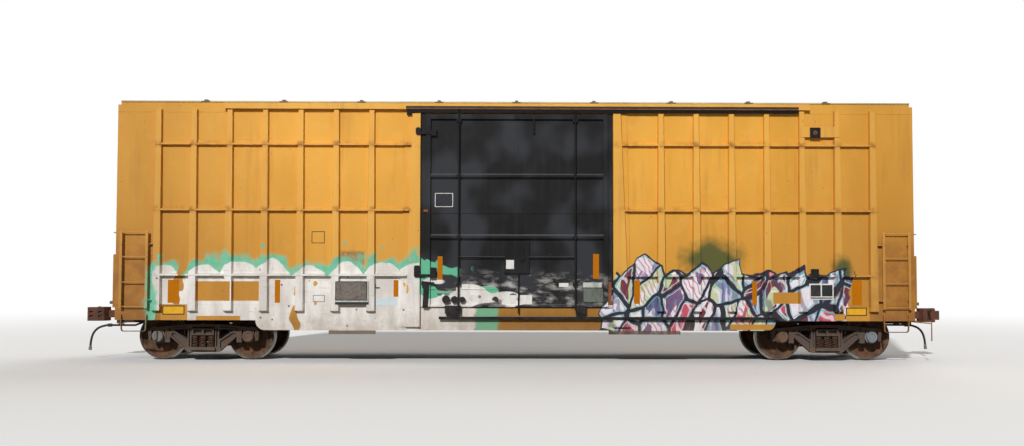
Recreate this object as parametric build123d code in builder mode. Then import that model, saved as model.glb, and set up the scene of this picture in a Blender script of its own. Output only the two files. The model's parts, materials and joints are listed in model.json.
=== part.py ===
"""Railroad boxcar: car body, two trucks, four wheelsets and two couplers, each piece its own solid.

Millimetres. +X runs along the car, the near side is -Y, +Z is up. The origin is under the middle
of the car, level with the wheel flange tips, so the rail top is one flange height above it.
"""

from build123d import *
import math
import os

os.makedirs("parts", exist_ok=True)

# Wheels and rail
tread_radius = 457.2
flange_height = 25.4
rail = flange_height
axle_height = tread_radius + flange_height

# Car body
half_length = 7785.0
roof_half_length = 7725.0
end_inner = 7660.0
side_outer = 1500.0
side_inner = 1448.0
floor_top = rail + 1090.0
floor_bottom = rail + 1010.0
sill_top = rail + 1090.0
sill_end_bottom = rail + 790.0
sill_deep_bottom = rail + 600.0
deep_half_length = 5060.0
deep_corner_radius = 180.0
chord_bottom = rail + 4850.0
eave_bottom = rail + 5045.0
eave_top = rail + 5070.0
crown_top = rail + 5138.0

# Side posts and stiffeners
first_post = 2827.0
post_pitch = 691.0
post_count = 7
post_top = rail + 4908.0
post_bottom = rail + 960.0
post_top_width = 94.0
post_bottom_width = 150.0
post_top_depth = 65.0
post_bottom_depth = 98.0
post_draft = 11.0

# Door
door_centre = 10.0
door_half_width = 1865.0
door_bottom = rail + 1046.0
door_top = rail + 4834.0
door_face = 1530.0
opening_half_width = 1875.0

# Trucks and couplers
truck_centre = 6172.0
half_wheelbase = 889.0
journal_centre = 1003.0
coupler_height = rail + 860.0
pipe_height = rail + 712
pulling_face = 8690.0
coupler_pivot = 7650.0
striker_face = 8160.0


def block(x0, x1, y0, y1, z0, z1, mode=Mode.ADD):
    """Adds a box between two corners to the part being built."""
    with Locations(((x0 + x1) / 2, (y0 + y1) / 2, (z0 + z1) / 2)):
        Box(abs(x1 - x0), abs(y1 - y0), abs(z1 - z0), mode=mode)


def prism(plane, points, depth, mode=Mode.ADD, both=False, radius=0):
    """Adds a straight prism over a polygon to the part being built, its corners rounded by the radius."""
    with BuildSketch(plane, mode=Mode.PRIVATE) as outline:
        with BuildLine():
            if radius:
                FilletPolyline(*points, close=True, radius=radius)
            else:
                Polyline(*points, close=True)
        make_face()
    extrude(outline.sketch, amount=depth, both=both, mode=mode)


def rod(start, end, radius, mode=Mode.ADD):
    """Adds a round bar between two points to the part being built."""
    path = Vector(*end) - Vector(*start)
    with BuildSketch(Plane(origin=start, z_dir=path), mode=Mode.PRIVATE) as ring:
        Circle(radius)
    extrude(ring.sketch, amount=path.length, mode=mode)


def pipe(points, radius, mode=Mode.ADD):
    """Adds a round bar along straight runs with mitred corners."""
    with BuildLine(mode=Mode.PRIVATE) as route:
        Polyline(*points)
    with BuildSketch(Plane(origin=points[0], z_dir=route.line % 0), mode=Mode.PRIVATE) as ring:
        Circle(radius)
    sweep(ring.sketch, path=route.line, transition=Transition.RIGHT, mode=mode)


def round_corners(sketch, corners, radius):
    """Rounds the corners of the sketch being built that lie at these places and their mirror places."""
    near = [
        sketch.vertices().sort_by_distance((end * x, z, 0))[0] for x, z in corners for end in (-1, 1)
    ]
    fillet(near, radius)


def save(part, name):
    """Writes one piece to its own file."""
    part.label = name
    export_step(part, "parts/" + name + ".step")


def turned(part):
    """The same piece on the far side of the car, half a turn about the vertical."""
    return part.rotate(Axis.Z, 180)


# Floor
with BuildPart() as floor:
    block(-end_inner, end_inner, -1446, 1446, floor_bottom, floor_top)
save(floor.part, "floor")

# Centre sill: webs, top plate, bottom flanges, draft pockets and strikers
sill_web_in, sill_web_out = 165.0, 182.0
sill_bottom = rail + 690.0
with BuildPart() as centre_sill:
    block(-8100, 8100, -sill_web_out, sill_web_out, floor_bottom - 24, floor_bottom)
    for side in (-1, 1):
        block(-8100, 8100, side * sill_web_in, side * sill_web_out, sill_bottom, floor_bottom - 24)
        block(-8100, 8100, side * sill_web_in, side * 240, sill_bottom, sill_bottom + 16)
    for end in (-1, 1):
        block(end * 8060, end * striker_face, -260, 260, coupler_height - 185, coupler_height + 150)
        block(
            end * 8050, end * (striker_face + 10), -156, 156,
            coupler_height - 100, coupler_height + 100, mode=Mode.SUBTRACT,
        )
        block(end * 7400, end * 7440, -sill_web_in, sill_web_in, sill_bottom, floor_bottom - 24)
save(centre_sill.part, "centre_sill")

# Body bolsters over the trucks, each with its centre plate
with BuildPart() as body_bolsters:
    for end in (-1, 1):
        for side in (-1, 1):
            with BuildSketch(Plane.YZ.offset(end * truck_centre), mode=Mode.PRIVATE) as profile:
                with BuildLine():
                    Polyline(
                        (side * sill_web_out, rail + 765),
                        (side * sill_web_out, floor_bottom),
                        (side * 1470, floor_bottom),
                        (side * 1470, rail + 880),
                        close=True,
                    )
                make_face()
            extrude(profile.sketch, amount=190, both=True)
        block(
            end * truck_centre - 190, end * truck_centre + 190, -sill_web_in, sill_web_in,
            rail + 690, rail + 765,
        )
        with Locations((end * truck_centre, 0, rail + 672.5)):
            Cylinder(178, 35)
save(body_bolsters.part, "body_bolsters")

# Crossbearers, with the floor stringers that lie on them
crossbearer_places = (-4200, -2800, -1400, 0, 1400, 2800, 4200)
crossbearer_top = floor_bottom - 90
with BuildPart() as crossbearers:
    for place in crossbearer_places:
        for side in (-1, 1):
            prism(
                Plane.YZ.offset(place),
                [
                    (side * sill_web_out, rail + 710),
                    (side * sill_web_out, crossbearer_top),
                    (side * 1470, crossbearer_top),
                    (side * 1470, rail + 850),
                ],
                35,
                both=True,
            )
    for side in (-1, 1):
        with Locations(Location((0, side * 330, pipe_height), (0, 90, 0))):
            Cylinder(32, 11000, mode=Mode.SUBTRACT)
save(crossbearers.part, "crossbearers")

with BuildPart() as stringers:
    for side in (-1, 1):
        for row in (520, 1040):
            block(-4850, 4850, side * (row - 35), side * (row + 35), crossbearer_top, floor_bottom)
save(stringers.part, "floor_stringers")

# Side sills: shallow over the trucks, deep between them, notched at the door sill
with BuildPart() as side_sill:
    with BuildSketch(Plane.XZ.offset(side_outer - 30)) as sill_outline:
        with BuildLine():
            Polyline(
                (-half_length, sill_end_bottom),
                (-deep_half_length, sill_end_bottom),
                (-deep_half_length, sill_deep_bottom),
                (deep_half_length, sill_deep_bottom),
                (deep_half_length, sill_end_bottom),
                (half_length, sill_end_bottom),
                (half_length, sill_top),
                (opening_half_width + door_centre, sill_top),
                (opening_half_width + door_centre, door_bottom - 8),
                (door_centre - opening_half_width, door_bottom - 8),
                (door_centre - opening_half_width, sill_top),
                (-half_length, sill_top),
                close=True,
            )
        make_face()
        deep_corners = sill_outline.vertices().filter_by(
            lambda v: abs(abs(v.X) - deep_half_length) < 1 and abs(v.Y - sill_deep_bottom) < 1
        )
        fillet(deep_corners, deep_corner_radius)
    extrude(amount=30)
    lip_spans = [("left", -3640, -2730), ("right", 1800, 3200)]
    for lip, start, stop in lip_spans:
        block(start, stop, -side_outer + 6, -side_outer + 24, rail + 525, sill_deep_bottom + 5)
with BuildPart() as side_sills:
    add(side_sill.part)
    add(turned(side_sill.part))
save(side_sills.part, "side_sills")

# Side sheets, one panel each side of each door
sheet_start = opening_half_width + 115
with BuildPart() as side_walls:
    for side in (-1, 1):
        for end in (-1, 1):
            inner_edge = end * (sheet_start + side * end * -door_centre)
            block(
                inner_edge, end * half_length, side * side_inner, side * side_outer,
                sill_top, chord_bottom,
            )
save(side_walls.part, "side_walls")

# Door frame: tapered posts, side strips, jambs and header
# columns: side, outer and inner edge at the head, outer and inner edge at the foot, thickness
frame_foot = rail + 670
frame_head = rail + 4830
frame_posts = [(-1, 2034, 1876, 2152, 1872, 70), (1, 2036, 1890, 2199, 1886, 70)]
frame_strips = [(-1, 2162, 1900, 2267, 1900, 20), (1, 2163, 1920, 2232, 1920, 20)]
with BuildPart() as near_frame:
    for side, top_outer, top_inner, foot_outer, foot_inner, proud in (*frame_posts, *frame_strips):
        prism(
            Plane.XZ.offset(side_outer),
            [
                (side * foot_outer, frame_foot), (side * foot_inner, frame_foot),
                (side * top_inner, frame_head), (side * top_outer, frame_head),
            ],
            proud,
        )
    for end in (-1, 1):
        block(
            door_centre + end * opening_half_width, door_centre + end * sheet_start,
            -side_inner, -side_outer, sill_top, chord_bottom,
        )
    block(
        door_centre - sheet_start, door_centre + sheet_start, -side_inner, -side_outer,
        door_top + 8, chord_bottom,
    )
with BuildPart() as door_frames:
    add(near_frame.part)
    add(turned(near_frame.part))
save(door_frames.part, "door_frames")

# One tapered post, then the rows of posts with their stiffeners
post_height = post_top - post_bottom
with BuildPart() as post:
    with BuildSketch(Plane.XZ.offset(side_outer)):
        with BuildLine():
            Polyline(
                (-post_bottom_width / 2 - 19, post_bottom),
                (post_bottom_width / 2 + 19, post_bottom),
                (post_top_width / 2 + 13, post_top),
                (-post_top_width / 2 - 13, post_top),
                close=True,
            )
        make_face()
    extrude(amount=post_bottom_depth + 4, taper=post_draft)
    prism(
        Plane.YZ.offset(-200),
        [
            (-side_outer, post_bottom - 10),
            (-side_outer - post_bottom_depth, post_bottom - 10),
            (-side_outer - post_top_depth, post_top + 10),
            (-side_outer, post_top + 10),
        ],
        400,
        mode=Mode.INTERSECT,
    )

# Stiffeners: an angle with its lip outward, from the last post to the door post
# columns: name, height of the lip's top, depth of the lip
stiffeners = [("top", rail + 4240, 78), ("middle", rail + 2955, 89), ("low", rail + 1688, 99)]
lip_height, leg_height, leg_depth = 36.0, 72.0, 12.0
last_post = first_post + post_pitch * (post_count - 1)
with BuildPart() as near_posts:
    for end in (-1, 1):
        for number in range(post_count):
            with Locations((end * (first_post + post_pitch * number), 0, 0)):
                add(post.part)
    for side, top_outer, top_inner, foot_outer, foot_inner, proud in frame_posts:
        for name, height, depth in stiffeners:
            lean = (foot_outer - top_outer) / (frame_head - frame_foot)
            frame_edge = top_outer + lean * (frame_head - height + lip_height)
            prism(
                Plane.YZ.offset(min(side * frame_edge, side * (last_post + 45))),
                [
                    (-side_outer, height - lip_height),
                    (-side_outer - depth, height - lip_height),
                    (-side_outer - depth, height),
                    (-side_outer - leg_depth, height + 8),
                    (-side_outer - leg_depth, height + leg_height - 4),
                    (-side_outer, height + leg_height),
                ],
                last_post + 45 - frame_edge,
            )
    block(5561, 6324, -side_outer - 66, -side_outer - 80, rail + 4382, rail + 4590)
    add(near_frame.part, mode=Mode.SUBTRACT)
with BuildPart() as side_posts:
    add(near_posts.part)
    add(turned(near_posts.part))
save(side_posts.part, "side_posts")

# Top chords with the long fascia that hoods the upper door track
with BuildPart() as near_chord:
    block(-roof_half_length, roof_half_length, -side_inner, -side_outer, chord_bottom, eave_bottom)
    for end in (-1, 1):
        block(
            end * roof_half_length, end * half_length, -side_inner, -side_outer,
            chord_bottom, rail + 4992,
        )
    prism(
        Plane.YZ.offset(-5718),
        [
            (-side_outer, rail + 5040),
            (-side_outer - 70, rail + 5030),
            (-side_outer - 96, rail + 5010),
            (-side_outer - 96, rail + 4909),
            (-side_outer - 84, rail + 4909),
            (-side_outer - 84, rail + 4990),
            (-side_outer, rail + 5005),
        ],
        11462,
    )
with BuildPart() as top_chords:
    add(near_chord.part)
    add(turned(near_chord.part))
save(top_chords.part, "top_chords")

# Roof: pitched sheet with raised seams across it
seam_count = 9
seam_pitch = 1520.0
seam_half_width = 30.0
roof_slope = (crown_top - eave_top) / 1515
with BuildPart() as roof:
    prism(
        Plane.YZ.offset(-roof_half_length),
        [
            (-1515, eave_bottom), (-1515, eave_top), (0, crown_top), (1515, eave_top),
            (1515, eave_bottom), (1448, eave_bottom), (0, eave_bottom + 62), (-1448, eave_bottom),
        ],
        2 * roof_half_length,
    )
    for number in range(seam_count):
        prism(
            Plane.YZ.offset(seam_pitch * (number - (seam_count - 1) / 2)),
            [
                (-1514, eave_top - 4), (-1514, eave_top + 26), (-1470, eave_top + 30),
                (0, crown_top + 22), (1470, eave_top + 30), (1514, eave_top + 26),
                (1514, eave_top - 4), (0, crown_top - 6),
            ],
            seam_half_width,
            both=True,
        )
    panel_half = seam_pitch / 2 - 110
    for number in range(seam_count + 1):
        for side in (-1, 1):
            prism(
                Plane.YZ.offset(seam_pitch * (number - seam_count / 2)),
                [
                    (side * 180, crown_top - 180 * roof_slope - 5),
                    (side * 240, crown_top - 240 * roof_slope + 9),
                    (side * 1290, crown_top - 1290 * roof_slope + 9),
                    (side * 1350, crown_top - 1350 * roof_slope - 5),
                ],
                panel_half,
                both=True,
            )
save(roof.part, "roof")

# End walls: horizontal V grooves between the corner posts, and a recessed panel at the top
groove_count = 6
groove_pitch = 525.0
groove_shelf = rail + 1405.0
groove_height = 284.0
groove_depth = 95.0
groove_half_width = 1390.0
end_walls = []
for end, name in ((-1, "end_wall_a"), (1, "end_wall_b")):
    with BuildPart() as end_wall:
        block(
            end * end_inner, end * half_length, -side_inner, side_inner,
            sill_end_bottom, rail + 4990,
        )
        for row in range(groove_count):
            shelf = groove_shelf + groove_pitch * row
            prism(
                Plane.XZ.offset(-groove_half_width),
                [
                    (end * (half_length + 5), shelf + groove_height + 15),
                    (end * (half_length - groove_depth), shelf + 6),
                    (end * (half_length - groove_depth), shelf),
                    (end * (half_length + 5), shelf),
                ],
                2 * groove_half_width,
                mode=Mode.SUBTRACT,
            )
        prism(
            Plane.XZ.offset(-groove_half_width),
            [
                (end * (half_length + 5), rail + 4440),
                (end * (half_length - 80), rail + 4550),
                (end * (half_length - 80), rail + 4935),
                (end * (half_length + 5), rail + 4935),
            ],
            2 * groove_half_width,
            mode=Mode.SUBTRACT,
        )
        prism(
            Plane.YZ.offset(end * 7693),
            [
                (-side_inner + 2, rail + 4990), (-side_inner + 2, eave_bottom),
                (0, eave_bottom + 62), (side_inner - 2, eave_bottom), (side_inner - 2, rail + 4990),
            ],
            30,
            both=True,
        )
        block(
            end * (end_inner - 5), end * (half_length + 5), -190, 190,
            rail + 640, floor_bottom, mode=Mode.SUBTRACT,
        )
    end_walls.append(end_wall.part)
    save(end_wall.part, name)

# Plug door leaf with its stiles, ribs and threshold lip
door_left = door_centre - door_half_width
door_right = door_centre + door_half_width
stile_top = rail + 4824
channel_start, channel_width, channel_depth = 95.0, 84.0, 56.0
panel_start = channel_start + channel_width
# columns: name, foot, foot of the flat, top of the flat, head, depth
ribs = [
    ("head", 4690, 4722, 4812, 4824, 50),
    ("upper", 3540, 3588, 3628, 3655, 48),
    ("middle", 2345, 2392, 2440, 2470, 48),
    ("foot", 1050, 1060, 1095, 1110, 26),
]
with BuildPart() as door:
    block(door_left, door_right, -side_inner, -door_face, door_bottom, door_top)
    stiles = [("frame", 0.0, channel_start, 14.0), ("channel", channel_start, panel_start, channel_depth)]
    for stile, start, stop, depth in stiles:
        block(
            door_left + start, door_left + stop, -door_face, -door_face - depth,
            door_bottom + 20, stile_top,
        )
        block(
            door_right - stop, door_right - start, -door_face, -door_face - depth,
            door_bottom + 20, stile_top,
        )
    for rib, foot, flat_foot, flat_top, head, depth in ribs:
        prism(
            Plane.YZ.offset(door_left + panel_start),
            [
                (-door_face, rail + foot), (-door_face - depth, rail + flat_foot),
                (-door_face - depth, rail + flat_top), (-door_face, rail + head),
            ],
            2 * (door_half_width - panel_start),
        )
    for start, stop in ((-1070, -245), (265, 1120)):
        block(start, stop, -door_face, -door_face - 30, rail + 1990, rail + 2050)
    for height in (1400, 2884):
        block(
            door_left + panel_start, door_right - panel_start, -door_face, -door_face - 12,
            rail + height - 8, rail + height + 8,
        )
save(door.part, "door_near")
save(turned(door.part), "door_far")

# Door gear: lock rods, gearbox with handle, rollers on the lower track, locks on the left post
rod_places = (door_centre - 1135, door_centre + 1135)
rod_depth = 78.0
gearbox_bottom, gearbox_top = rail + 1706, rail + 2320
handle_height = rail + 2000
with BuildPart() as gear:
    for place in rod_places:
        rod((place, -door_face - rod_depth, rail + 1000), (place, -door_face - rod_depth, rail + 4900), 16)
        for height in (rail + 1500, rail + 2415, rail + 3605, rail + 4690):
            block(place - 45, place + 45, -door_face, -door_face - 76, height - 28, height + 28)
    carriages = [("left", -1385, -1070), ("right", 1150, 1360)]
    for carriage, start, stop in carriages:
        block(start, stop, -door_face, -door_face - 60, door_bottom + 2, rail + 1085)
        block(start, stop, -door_face - 22, -door_face - 60, rail + 925, door_bottom + 2)
        block(start + 40, stop - 40, -door_face - 30, -door_face - 52, rail + 868, rail + 925)
    rollers = [("large", -1362, 76), ("middle", -1198, 68), ("small", -1048, 56)]
    for roller, place, radius in rollers:
        with Locations(Location((place, -door_face - 42, rail + 1200), (90, 0, 0))):
            Cylinder(radius, 84)
    block(
        door_centre - 245, door_centre + 245, -door_face, -door_face - 42,
        gearbox_bottom, gearbox_top,
    )
    with Locations(Location((door_centre + 110, -door_face - 52, handle_height), (90, 0, 0))):
        Cylinder(60, 30)
    prism(
        Plane.XZ.offset(door_face + 62),
        [
            (door_centre + 80, handle_height - 40), (door_centre + 140, handle_height - 40),
            (door_centre + 120, gearbox_top - 60), (door_centre + 100, gearbox_top - 60),
        ],
        16,
    )
    rod((door_centre + 35, -door_face - 30, rail + 930), (door_centre + 35, -door_face - 30, gearbox_bottom), 15)
    rod((door_centre + 330, -door_face - 22, rail + 4430), (door_centre + 330, -door_face - 22, rail + 4780), 20)
    for end in (-1, 1):
        rod(
            (door_centre + end * 230, -door_face - 44, rail + 2022),
            (door_centre + end * 1135, -door_face - 44, rail + 2022),
            14,
        )
    # Locks on the left door post, each with its bar and the keeper on the door
    # columns: name, left end, foot, head
    locks = [("upper", -1965, 4410, 4550), ("lower", -1985, 1630, 1860)]
    for lock, edge, low, high in locks:
        lock_height = rail + (low + high) / 2
        with BuildSketch(Plane.XZ.offset(side_outer + 70), mode=Mode.PRIVATE) as lock_face:
            with Locations(((edge - 1870) / 2, lock_height)):
                RectangleRounded(-1870 - edge, high - low, 34)
        extrude(lock_face.sketch, amount=34)
        block(-1900, -1560, -side_outer - 86, -side_outer - 104, rail + low + 10, rail + low + 60)
        block(-1670, -1560, -door_face, -side_outer - 104, rail + low - 20, rail + high - 40)
    # Hand lever at the foot of the left channel, on its hinge bar
    block(-1848, -1600, -door_face, -door_face - 70, rail + 1490, rail + 1535)
    prism(
        Plane.XZ.offset(door_face),
        [
            (-1820, rail + 1420), (-1700, rail + 1400), (-1678, rail + 1540), (-1840, rail + 1560),
        ],
        74,
    )
    prism(
        Plane.XZ.offset(door_face + 40),
        [
            (-1818, rail + 1045), (-1716, rail + 1045), (-1690, rail + 1425), (-1800, rail + 1425),
        ],
        32,
    )
    add(door.part, mode=Mode.SUBTRACT)
save(gear.part, "door_gear_near")
save(turned(gear.part), "door_gear_far")

# Door tracks and stops
with BuildPart() as near_track:
    block(-2140, 5520, -side_outer, -side_outer - 90, rail + 4888, rail + 4908)
    block(-2140, 5520, -side_outer - 72, -side_outer - 90, rail + 4846, rail + 4888)
    block(-2145, -2042, -side_outer, -side_outer - 90, rail + 4805, rail + 4888)
    block(-1500, 5100, -side_outer, -side_outer - 96, rail + 850, rail + 868)
    block(-1500, 5100, -side_outer - 78, -side_outer - 96, rail + 815, rail + 850)
    block(5740, 5945, -side_outer - 80, -side_outer - 104, rail + 4366, rail + 4572)
    block(5751, 5885, -side_outer, -side_outer - 104, rail + 1632, rail + 1806)
    add(near_frame.part, mode=Mode.SUBTRACT)
    add(near_posts.part, mode=Mode.SUBTRACT)
with BuildPart() as door_tracks:
    add(near_track.part)
    add(turned(near_track.part))
save(door_tracks.part, "door_tracks")

# Side ladders at the four corners
ladder_centre = 7410.0
ladder_half = 250.0
rung_heights = (rail + 1052, rail + 1525, rail + 2015, rail + 2489)
ladder_brackets = (rail + 1183, rail + 2266)
rung_depth, stile_depth, stile_half_width = 78.0, 98.0, 26.0
with BuildPart() as near_ladders:
    for end in (-1, 1):
        for edge in (-1, 1):
            place = end * (ladder_centre + edge * ladder_half)
            block(
                place - stile_half_width, place + stile_half_width,
                -side_outer - stile_depth + 12, -side_outer - stile_depth,
                rung_heights[0] - 36, rung_heights[-1] + 34,
            )
            reach = stile_half_width if edge > 0 else place * end - last_post - 60
            for height in ladder_brackets:
                block(
                    place + end * stile_half_width, place - end * reach,
                    -side_outer, -side_outer - stile_depth + 10, height - 6, height + 6,
                )
        for height in rung_heights:
            rod(
                (end * ladder_centre - ladder_half, -side_outer - rung_depth, height),
                (end * ladder_centre + ladder_half, -side_outer - rung_depth, height),
                11,
            )
    add(near_posts.part, mode=Mode.SUBTRACT)
with BuildPart() as side_ladders:
    add(near_ladders.part)
    add(turned(near_ladders.part))
save(side_ladders.part, "side_ladders")

# End ladders beside each corner, the grab bar above each, and the bar across each end
end_stiles = (930.0, 1430.0)
with BuildPart() as end_ladders:
    for end in (-1, 1):
        bar_x = end * (half_length + 56)
        for side in (-1, 1):
            for place in (side * end_stiles[0], side * end_stiles[1]):
                block(
                    end * half_length, end * (half_length + 68), place - 6, place + 6,
                    rail + 1030, rail + 2065,
                )
                block(
                    end * half_length, end * (half_length + 68), place - 10, place + 10,
                    rung_heights[-1] - 11, rung_heights[-1] + 11,
                )
            for height in rung_heights:
                rod((bar_x, side * end_stiles[0], height), (bar_x, side * end_stiles[1], height), 11)
        rod((bar_x, -end_stiles[0], rail + 2010), (bar_x, end_stiles[0], rail + 2010), 11)
save(end_ladders.part, "end_ladders")

# Sill steps under the side ladders
step_bottom = rail + 578
with BuildPart() as near_steps:
    for end in (-1, 1):
        step_middle = end * ladder_centre
        with BuildLine(mode=Mode.PRIVATE) as step_route:
            FilletPolyline(
                (step_middle - 246, -side_outer - 25, rail + 900),
                (step_middle - 232, -side_outer - 25, step_bottom),
                (step_middle + 232, -side_outer - 25, step_bottom),
                (step_middle + 246, -side_outer - 25, rail + 900),
                radius=45,
            )
        step_plane = Plane(origin=step_route.line @ 0, z_dir=step_route.line % 0, x_dir=(0, 1, 0))
        with BuildSketch(step_plane, mode=Mode.PRIVATE) as bar:
            Rectangle(50, 16)
        sweep(bar.sketch, path=step_route.line)
with BuildPart() as sill_steps:
    add(near_steps.part)
    add(turned(near_steps.part))
save(sill_steps.part, "sill_steps")

# Crossover platforms over the couplers
with BuildPart() as platforms:
    for end in (-1, 1):
        block(end * (half_length + 50), end * 8140, -760, 760, rail + 1110, rail + 1140)
        block(end * (half_length + 50), end * 8140, -760, -748, rail + 1080, rail + 1110)
        block(end * (half_length + 50), end * 8140, 748, 760, rail + 1080, rail + 1110)
        for place in (-620, -280, 280, 620):
            prism(
                Plane.XZ.offset(-place),
                [
                    (end * half_length, rail + 860), (end * (half_length + 30), rail + 860),
                    (end * 8120, rail + 1110), (end * half_length, rail + 1110),
                ],
                6,
                both=True,
            )
save(platforms.part, "crossover_platforms")

# Hand brake on the -X end: gear housing, spoked wheel and the chain rod down to the frame
brake_y, brake_z = 700.0, rail + 1800
brake_face = -half_length - 130
with BuildPart() as hand_brake:
    block(-half_length, brake_face, brake_y - 130, brake_y + 130, brake_z - 190, brake_z + 160)
    rod((brake_face, brake_y, brake_z), (brake_face - 90, brake_y, brake_z), 24)
    wheel_x = brake_face - 78
    with Locations(Location((wheel_x, brake_y, brake_z), (0, 90, 0))):
        Cylinder(279, 24)
        Cylinder(253, 24, mode=Mode.SUBTRACT)
    for angle in (90, 210, 330):
        rod(
            (wheel_x, brake_y, brake_z),
            (
                wheel_x,
                brake_y + 262 * math.cos(math.radians(angle)),
                brake_z + 262 * math.sin(math.radians(angle)),
            ),
            10,
        )
    rod((brake_face + 60, brake_y + 90, rail + 900), (brake_face + 60, brake_y + 90, brake_z - 190), 12)
    block(-half_length, brake_face + 40, brake_y + 60, brake_y + 120, rail + 880, rail + 930)
    for wall in end_walls:
        add(wall, mode=Mode.SUBTRACT)
save(hand_brake.part, "hand_brake")

# Uncoupling levers, one at the left corner of each end
with BuildPart() as levers:
    for end in (-1, 1):
        reach = [
            (end * (half_length + 345), -end * 1440, rail + 400),
            (end * (half_length + 345), -end * 1440, rail + 745),
            (end * (half_length + 62), -end * 1440, rail + 770),
            (end * (half_length + 62), -end * 480, rail + 770),
            (end * (half_length + 480), -end * 310, rail + 740),
        ]
        pipe(reach, 11)
        block(
            end * half_length, end * (half_length + 70), -end * 1330, -end * 1290,
            rail + 800, rail + 818,
        )
        block(
            end * (half_length + 53), end * (half_length + 71), -end * 1330, -end * 1290,
            rail + 779, rail + 800,
        )
save(levers.part, "uncoupling_levers")

# Air brake: cylinder, reservoir with valve, train pipe
with BuildPart() as brake_cylinder:
    rod((-2300, -760, rail + 800), (-1900, -760, rail + 800), 130)
    rod((-1900, -760, rail + 800), (-1600, -760, rail + 800), 30)
    block(-2240, -2200, -800, -720, rail + 900, floor_bottom)
    block(-2000, -1960, -800, -720, rail + 900, floor_bottom)
save(brake_cylinder.part, "brake_cylinder")

with BuildPart() as reservoir:
    rod((1600, 800, rail + 790), (2550, 800, rail + 790), 165)
    block(1750, 1800, 740, 860, rail + 920, floor_bottom)
    block(2350, 2400, 740, 860, rail + 920, floor_bottom)
    block(600, 900, 680, 920, rail + 700, floor_bottom)
save(reservoir.part, "air_reservoir")

hose_height = rail + 640
with BuildPart() as train_pipe:
    route = [
        (-8230, -330, hose_height), (-7760, -330, hose_height), (-7560, -330, pipe_height),
        (-900, -330, pipe_height), (-500, -330, rail + 620), (500, 330, rail + 620),
        (900, 330, pipe_height), (7560, 330, pipe_height), (7760, 330, hose_height),
        (8230, 330, hose_height),
    ]
    pipe(route, 21)
    for end in (-1, 1):
        rod((end * 8230, end * 330, hose_height), (end * 8312, end * 330, hose_height), 34)
        block(
            end * 8000, end * 8100, end * 260, end * 355,
            hose_height + 10, hose_height + 33,
        )
save(train_pipe.part, "train_pipe")

# Placard boards on both sides
with BuildPart() as near_board:
    block(-3505, -2860, -side_outer - 98, -side_outer - 112, rail + 1105, rail + 1550)
with BuildPart() as placard_boards:
    add(near_board.part)
    add(turned(near_board.part))
save(placard_boards.part, "placard_boards")

# Air hoses hanging at each end, and the gladhand on each
hose_radius = 22.0
hose_start = 8312.0
hose_runs = [("exit", 150, -8), ("upper", 170, -38), ("lower", 170, -70), ("tail", 120, -86)]
hose_points = [(hose_start, hose_height)]
for run, length, angle in hose_runs:
    last_x, last_z = hose_points[-1]
    hose_points.append(
        (
            last_x + length * math.cos(math.radians(angle)),
            last_z + length * math.sin(math.radians(angle)),
        )
    )
hose_radii = []
for before, after in zip(hose_runs[:-1], hose_runs[1:]):
    half_turn = math.radians(abs(after[2] - before[2])) / 2
    hose_radii.append(0.45 * min(before[1], after[1]) / math.tan(half_turn))
print("hose radii", [round(radius, 1) for radius in hose_radii], "diameter", 2 * hose_radius)
for end, letter in ((-1, "a"), (1, "b")):
    with BuildPart() as hose:
        with BuildLine() as hose_route:
            FilletPolyline(*[(end * x, end * 330, z) for x, z in hose_points], radius=hose_radii)
        with BuildSketch(Plane(origin=hose_route.line @ 0, z_dir=hose_route.line % 0)):
            Circle(hose_radius)
        sweep()
    hose_length = hose_route.wires()[0].length
    hose_section = math.pi * hose_radius**2
    print("hose length", round(hose_length, 1), "volume", round(hose.part.volume))
    print("hose section x length", round(hose_section * hose_length))
    save(hose.part, "air_hose_" + letter)
    tail_x, tail_z = hose_points[-1]
    tail_dir = hose_route.line % 1
    with BuildPart() as gladhand:
        with BuildSketch(Plane(origin=hose_route.line @ 1, z_dir=tail_dir, x_dir=(0, 1, 0))):
            Circle(26)
        extrude(amount=40)
        with BuildSketch(
            Plane(origin=hose_route.line @ 1 + tail_dir * 40, z_dir=tail_dir, x_dir=(0, 1, 0))
        ):
            Rectangle(44, 52)
        extrude(amount=62)
    save(gladhand.part, "gladhand_" + letter)

# Couplers, drawn at the +X end and turned for the other
knuckle_pivot = (pulling_face - 45, -130)
lug_gap = 98.0
head_rounding, knuckle_rounding = 24.0, 12.0
with BuildPart() as coupler:
    block(coupler_pivot, pulling_face - 290, -65, 65, coupler_height - 75, coupler_height + 75)
    with Locations((coupler_pivot, 0, coupler_height)):
        Cylinder(90, 150)
        Cylinder(38, 170)
    head = [
        (-300, -70), (-240, -165), (-150, -190), (-150, -55), (-110, 10), (-40, 55),
        (40, 95), (100, 140), (108, 175), (60, 205), (-120, 205), (-240, 170), (-300, 70),
    ]
    prism(
        Plane.XY.offset(coupler_height - 140),
        [(pulling_face + x, y) for x, y in head],
        280,
        radius=head_rounding,
    )
    for low in (coupler_height - 140, coupler_height + lug_gap):
        lug = [(-190, -165), (-152, -190), (-20, -188), (10, -150), (5, -95), (-60, -70), (-190, -60)]
        prism(
            Plane.XY.offset(low),
            [(pulling_face + x, y) for x, y in lug],
            140 - lug_gap,
            radius=knuckle_rounding,
        )
    for start in (-205, -20):
        for row in (-42, 42):
            block(
                pulling_face + start, pulling_face + start + 75, 165, 210,
                coupler_height + row - 20, coupler_height + row + 20, mode=Mode.SUBTRACT,
            )
    with Locations((knuckle_pivot[0], knuckle_pivot[1], coupler_height)):
        Cylinder(20, 300)
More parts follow.
